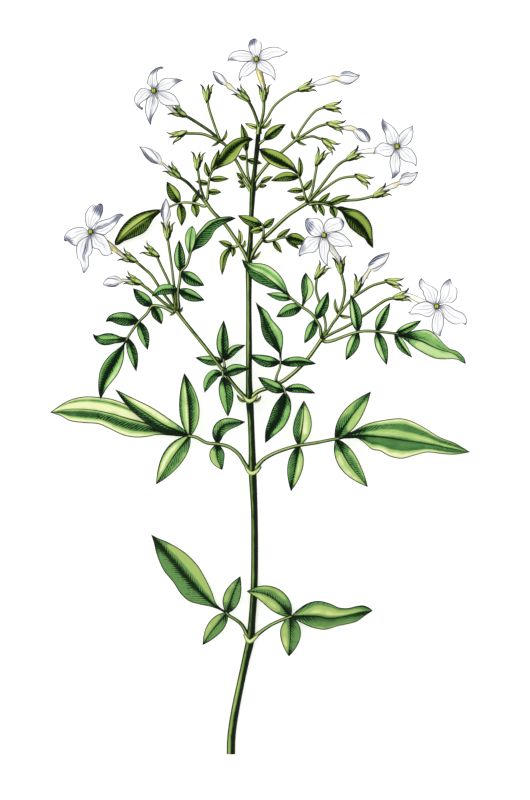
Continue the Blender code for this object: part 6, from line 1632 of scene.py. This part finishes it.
def stem_finish(name, *colours):
    """A stalk: painted pale on its lit side, with long streaks of painted shade that meet on the other, and
    rimmed.
    """
    made = Finish(name, 0.5, LEAF_SPECULAR)
    pale, light, middle, deep, dark = map(tint, colours)
    off, run, edge = made.parts("spot")
    _, _, painted_shade = made.parts("share")
    streak = made.streaks(off, run, (3.0, 0.2), 3.0)
    painted_shade = made.plus(painted_shade, made.swing(made.grain(STALK_BLOTCHES, 2.0), 0.3))
    wash = made.ramp(painted_shade, [(0.0, pale), (0.3, light), (0.62, middle), (1.0, deep)])
    reach = made.plus(made.times(painted_shade, 1.1), made.times(streak, 1.3))
    colour = made.cover(wash, dark, made.fade(reach, 1.15, 1.45), STROKE_COVER)
    colour = made.cover(colour, INK, made.fade(edge, *STALK_RIM_FADE), RIM_COVER)
    made.relief(streak, 0.15)
    return made.colour(colour)


def petal_finish(name, *colours):
    """A white petal: a grey-blue wash and strokes of painted shade along it, three veins and a thin rim."""
    made = Finish(name, 0.6, PETAL_SPECULAR)
    made.shader.inputs["Sheen Weight"].default_value = PETAL_SHEEN
    ground, shade, line = map(tint, colours)
    _, _, edge = made.parts("spot")
    across, along, painted_shade = made.parts("share")
    soft = made.grain(STROKE_WOBBLE, 2.0)
    uneven = made.swing(soft, 0.5)
    painted_shade = made.plus(painted_shade, made.times(uneven, made.fade(painted_shade, 0.05, 0.3)))
    wave = made.wave(made.plus(made.times(across, 3.5), made.times(soft, 1.2)))
    wash = made.cover(ground, shade, made.fade(painted_shade, 0.18, 0.9), WASH_COVER)
    reach = made.minus(made.times(painted_shade, 1.25), 0.38)
    colour = made.cover(wash, line, made.strokes(wave, reach, 0.22), 0.8)
    bent = made.plus(across, made.times(uneven, 0.25))
    for at, end in PETAL_VEINS:
        vein = made.fade(made.calc("ABSOLUTE", made.minus(bent, at)), 0.075, 0.025)
        vein = made.times(vein, made.fade(along, end, end - 0.3))
        colour = made.cover(colour, line, vein, 0.45)
    colour = made.cover(colour, line, made.fade(edge, *PETAL_RIM_FADE), 0.9)
    made.relief(made.plus(made.times(wave, 0.3), soft), 0.06)
    return made.colour(colour)


def tube_finish(name, shade_streak_strength, *colours):
    """A corolla tube: cream along its middle and white by the calyx, with grey streaks of painted shade on
    its side away from the light.
    """
    made = Finish(name, 0.55, PETAL_SPECULAR)
    ground, cream, line = map(tint, colours)
    off, run, edge = made.parts("spot")
    _, along, painted_shade = made.parts("share")
    streak = made.streaks(off, run, (4.0, 0.3), 2.0)
    wash = made.blend(made.fade(along, 0.16, 0.36), ground, cream)
    reach = made.plus(made.times(painted_shade, 0.9), made.times(streak, 0.9))
    colour = made.cover(wash, line, made.fade(reach, 1.0, 1.3), shade_streak_strength)
    colour = made.cover(colour, line, made.fade(edge, *STALK_RIM_FADE), 0.9)
    made.relief(streak, 0.08)
    return made.colour(colour)


def bud_finish(name, *colours):
    """A closed bud: white with a grey-blue wash and strokes of painted shade, seams where petals overlap."""
    made = Finish(name, 0.6, PETAL_SPECULAR)
    ground, shade, cream, line = map(tint, colours)
    cream_share, _, edge = made.parts("spot")
    turn, along, painted_shade = made.parts("share")
    soft = made.grain(STROKE_WOBBLE, 2.0)
    painted_shade = made.plus(painted_shade, made.swing(soft, 0.3))
    wave = made.wave(made.plus(made.times(turn, 3.0), soft))
    wash = made.cover(ground, shade, made.fade(painted_shade, 0.25, 0.95), WASH_COVER)
    wash = made.cover(wash, cream, cream_share, 0.9)
    reach = made.minus(made.times(painted_shade, 1.2), 0.42)
    colour = made.cover(wash, line, made.strokes(wave, reach, 0.14), 0.88)
    seam_at = made.minus(made.calc("FRACT", made.plus(turn, 0.5)), 0.5)
    seam = made.fade(made.calc("ABSOLUTE", seam_at), 0.1, 0.04)
    seam = made.times(seam, made.fade(along, 0.36, 0.5))
    colour = made.cover(colour, line, seam, 0.85)
    colour = made.cover(colour, line, made.fade(edge, *PETAL_RIM_FADE), 0.92)
    made.relief(made.plus(made.times(wave, 0.3), soft), 0.06)
    return made.colour(colour)


def spotted_finish(name, scale, *colours):
    """The throat's lip and the pollen sacs: a light colour turned towards a dark one by painted shade and by
    grains.
    """
    made = Finish(name, 0.65, PETAL_SPECULAR)
    _, _, painted_shade = made.parts("share")
    grains = made.grain(scale, 2.0)
    tone = made.plus(made.times(painted_shade, 0.7), made.times(grains, 0.6))
    colour = made.blend(made.fade(tone, 0.35, 0.95), *map(tint, colours))
    made.relief(grains, 0.08)
    return made.colour(colour)


def floor_finish():
    """The pale matt surface under the sprig, softly lit from below, with a faint tooth."""
    made = Finish("pale_surface", 0.9, 0.1)
    tooth = made.grain(FLOOR_TOOTH, 2.0)
    colour = made.cover(tint((255, 255, 255)), tint((250, 250, 250)), tooth, 0.25)
    made.relief(tooth, 0.03, 0.2)
    made.shader.inputs["Emission Color"].default_value = WHITE
    made.shader.inputs["Emission Strength"].default_value = FLOOR_GLOW
    return made.colour(colour)


def set_stage():
    """The surface, the soft light and the camera that looks straight down."""
    mesh = bpy.data.meshes.new("floor")
    corners = [(side * FLOOR_HALF, end * FLOOR_HALF, -FLOOR_DROP)
               for side, end in ((-1, -1), (1, -1), (1, 1), (-1, 1))]
    mesh.from_pydata(corners, [], [(0, 1, 2, 3)])
    mesh.materials.append(floor_finish())
    floor = show("floor", mesh)

    sky = bpy.data.worlds.new("soft_sky")
    sky.use_nodes = True
    background = sky.node_tree.nodes["Background"]
    background.inputs["Color"].default_value = WHITE
    background.inputs["Strength"].default_value = SKY_STRENGTH
    bpy.context.scene.world = sky

    lamp = bpy.data.lights.new("window", "SUN")
    lamp.energy = LAMP_STRENGTH
    lamp.angle = math.radians(LAMP_SPREAD)
    window = show("window", lamp)
    shines = Vector(-LIGHT_FROM * np.array([1.0, 1.0, LAMP_STEEPNESS]))
    window.rotation_euler = shines.to_track_quat("-Z", "Y").to_euler()

    columns, rows = PICTURE_SIZE
    distance = rows * PIXEL * LENS / SENSOR_SIZE
    middle = place([(columns / 2.0, rows / 2.0, VIEW_HEIGHT)])[0]
    looking = bpy.data.cameras.new("camera")
    looking.lens = LENS
    looking.clip_end = FARTHEST_SEEN
    camera = show("camera", looking)
    camera.location = (middle[0], middle[1], middle[2] + distance)
    bpy.context.scene.camera = camera
    bpy.context.scene.view_settings.view_transform = "Standard"


INK = tint((26, 26, 20))
# Each green runs from its lit colour to its shaded ones, pale to deep, and its dark one draws the strokes of
# painted shade and, on leaves, the midrib
LOW_GREEN = leaf_finish(
    "low_leaf_green", 0.52, (214, 230, 150), (166, 194, 106), (102, 150, 82), (60, 110, 48), (12, 30, 10))
CREAM_GREEN = leaf_finish(
    "cream_edged_green", 0.36, (240, 246, 192), (174, 208, 118), (92, 150, 80), (44, 98, 40), (6, 22, 6))
BLUE_GREEN = leaf_finish(
    "blue_leaf_green", 0.27, (204, 234, 162), (140, 194, 108), (84, 145, 72), (38, 94, 40), (4, 22, 8))
HIGH_GREEN = leaf_finish(
    "high_leaf_green", 0.31, (202, 220, 120), (150, 176, 74), (92, 128, 44), (46, 82, 24), (4, 18, 0))
STEM_GREEN = stem_finish(
    "stem_green", (176, 204, 116), (130, 162, 80), (82, 120, 52), (42, 80, 34), (8, 22, 8))
SHOOT_GREEN = stem_finish(
    "shoot_green", (214, 230, 150), (172, 198, 100), (112, 148, 64), (56, 92, 36), (14, 34, 10))
STALK_GREEN = stem_finish(
    "stalk_green", (200, 218, 146), (150, 182, 100), (96, 132, 66), (50, 84, 40), (10, 28, 10))
CALYX_GREEN = stem_finish(
    "calyx_green", (222, 236, 150), (184, 208, 112), (112, 148, 68), (38, 68, 28), (8, 20, 6))
PETAL_WHITE = petal_finish("petal_white", (253, 253, 255), (164, 174, 202), (54, 58, 74))
# The tubes' colours above 255 are painted light, which lifts them out of the petals' shade
TUBE_CREAM = tube_finish("tube_cream", 0.7, (262, 264, 270), (280, 270, 184), (72, 66, 56))
TUBE_WHITE = tube_finish("tube_white", 0.3, (262, 264, 270), (278, 275, 256), (104, 108, 122))
BUD_WHITE = bud_finish("bud_white", (252, 252, 255), (158, 168, 194), (246, 238, 186), (54, 58, 72))
THROAT_GREEN = spotted_finish("throat_green", 2600.0, (108, 118, 38), (24, 28, 14))
ANTHER_YELLOW = spotted_finish("anther_yellow", 3200.0, (214, 218, 64), (120, 126, 40))

make_main_stem([STEM_GREEN, HIGH_GREEN, SHOOT_GREEN])
for shoot_name, shoot_plan in SHOOTS.items():
    make_shoot(shoot_name, shoot_plan, [SHOOT_GREEN, HIGH_GREEN, CALYX_GREEN])
LEAF_FINISHES = {"low": LOW_GREEN, "second": CREAM_GREEN, "left": BLUE_GREEN, "right": BLUE_GREEN}
for leaf_name, leaf_plan in LEAVES.items():
    leaf_green = LEAF_FINISHES.get(leaf_name.split("_")[0], HIGH_GREEN)
    stalk_green = SHOOT_GREEN if leaf_green is HIGH_GREEN else STALK_GREEN
    make_leaf(leaf_name, leaf_plan, [leaf_green, stalk_green])
for flower_number, flower_plan in enumerate(FLOWERS, start=1):
    tube = TUBE_CREAM if flower_number in CREAM_TUBES else TUBE_WHITE
    make_flower(flower_number, flower_plan, [PETAL_WHITE, tube, THROAT_GREEN])
    make_anthers(flower_number, flower_plan, ANTHER_YELLOW)
for bud_number, bud_plan in enumerate(BUDS, start=1):
    make_bud(bud_number, bud_plan, BUD_WHITE)
set_stage()
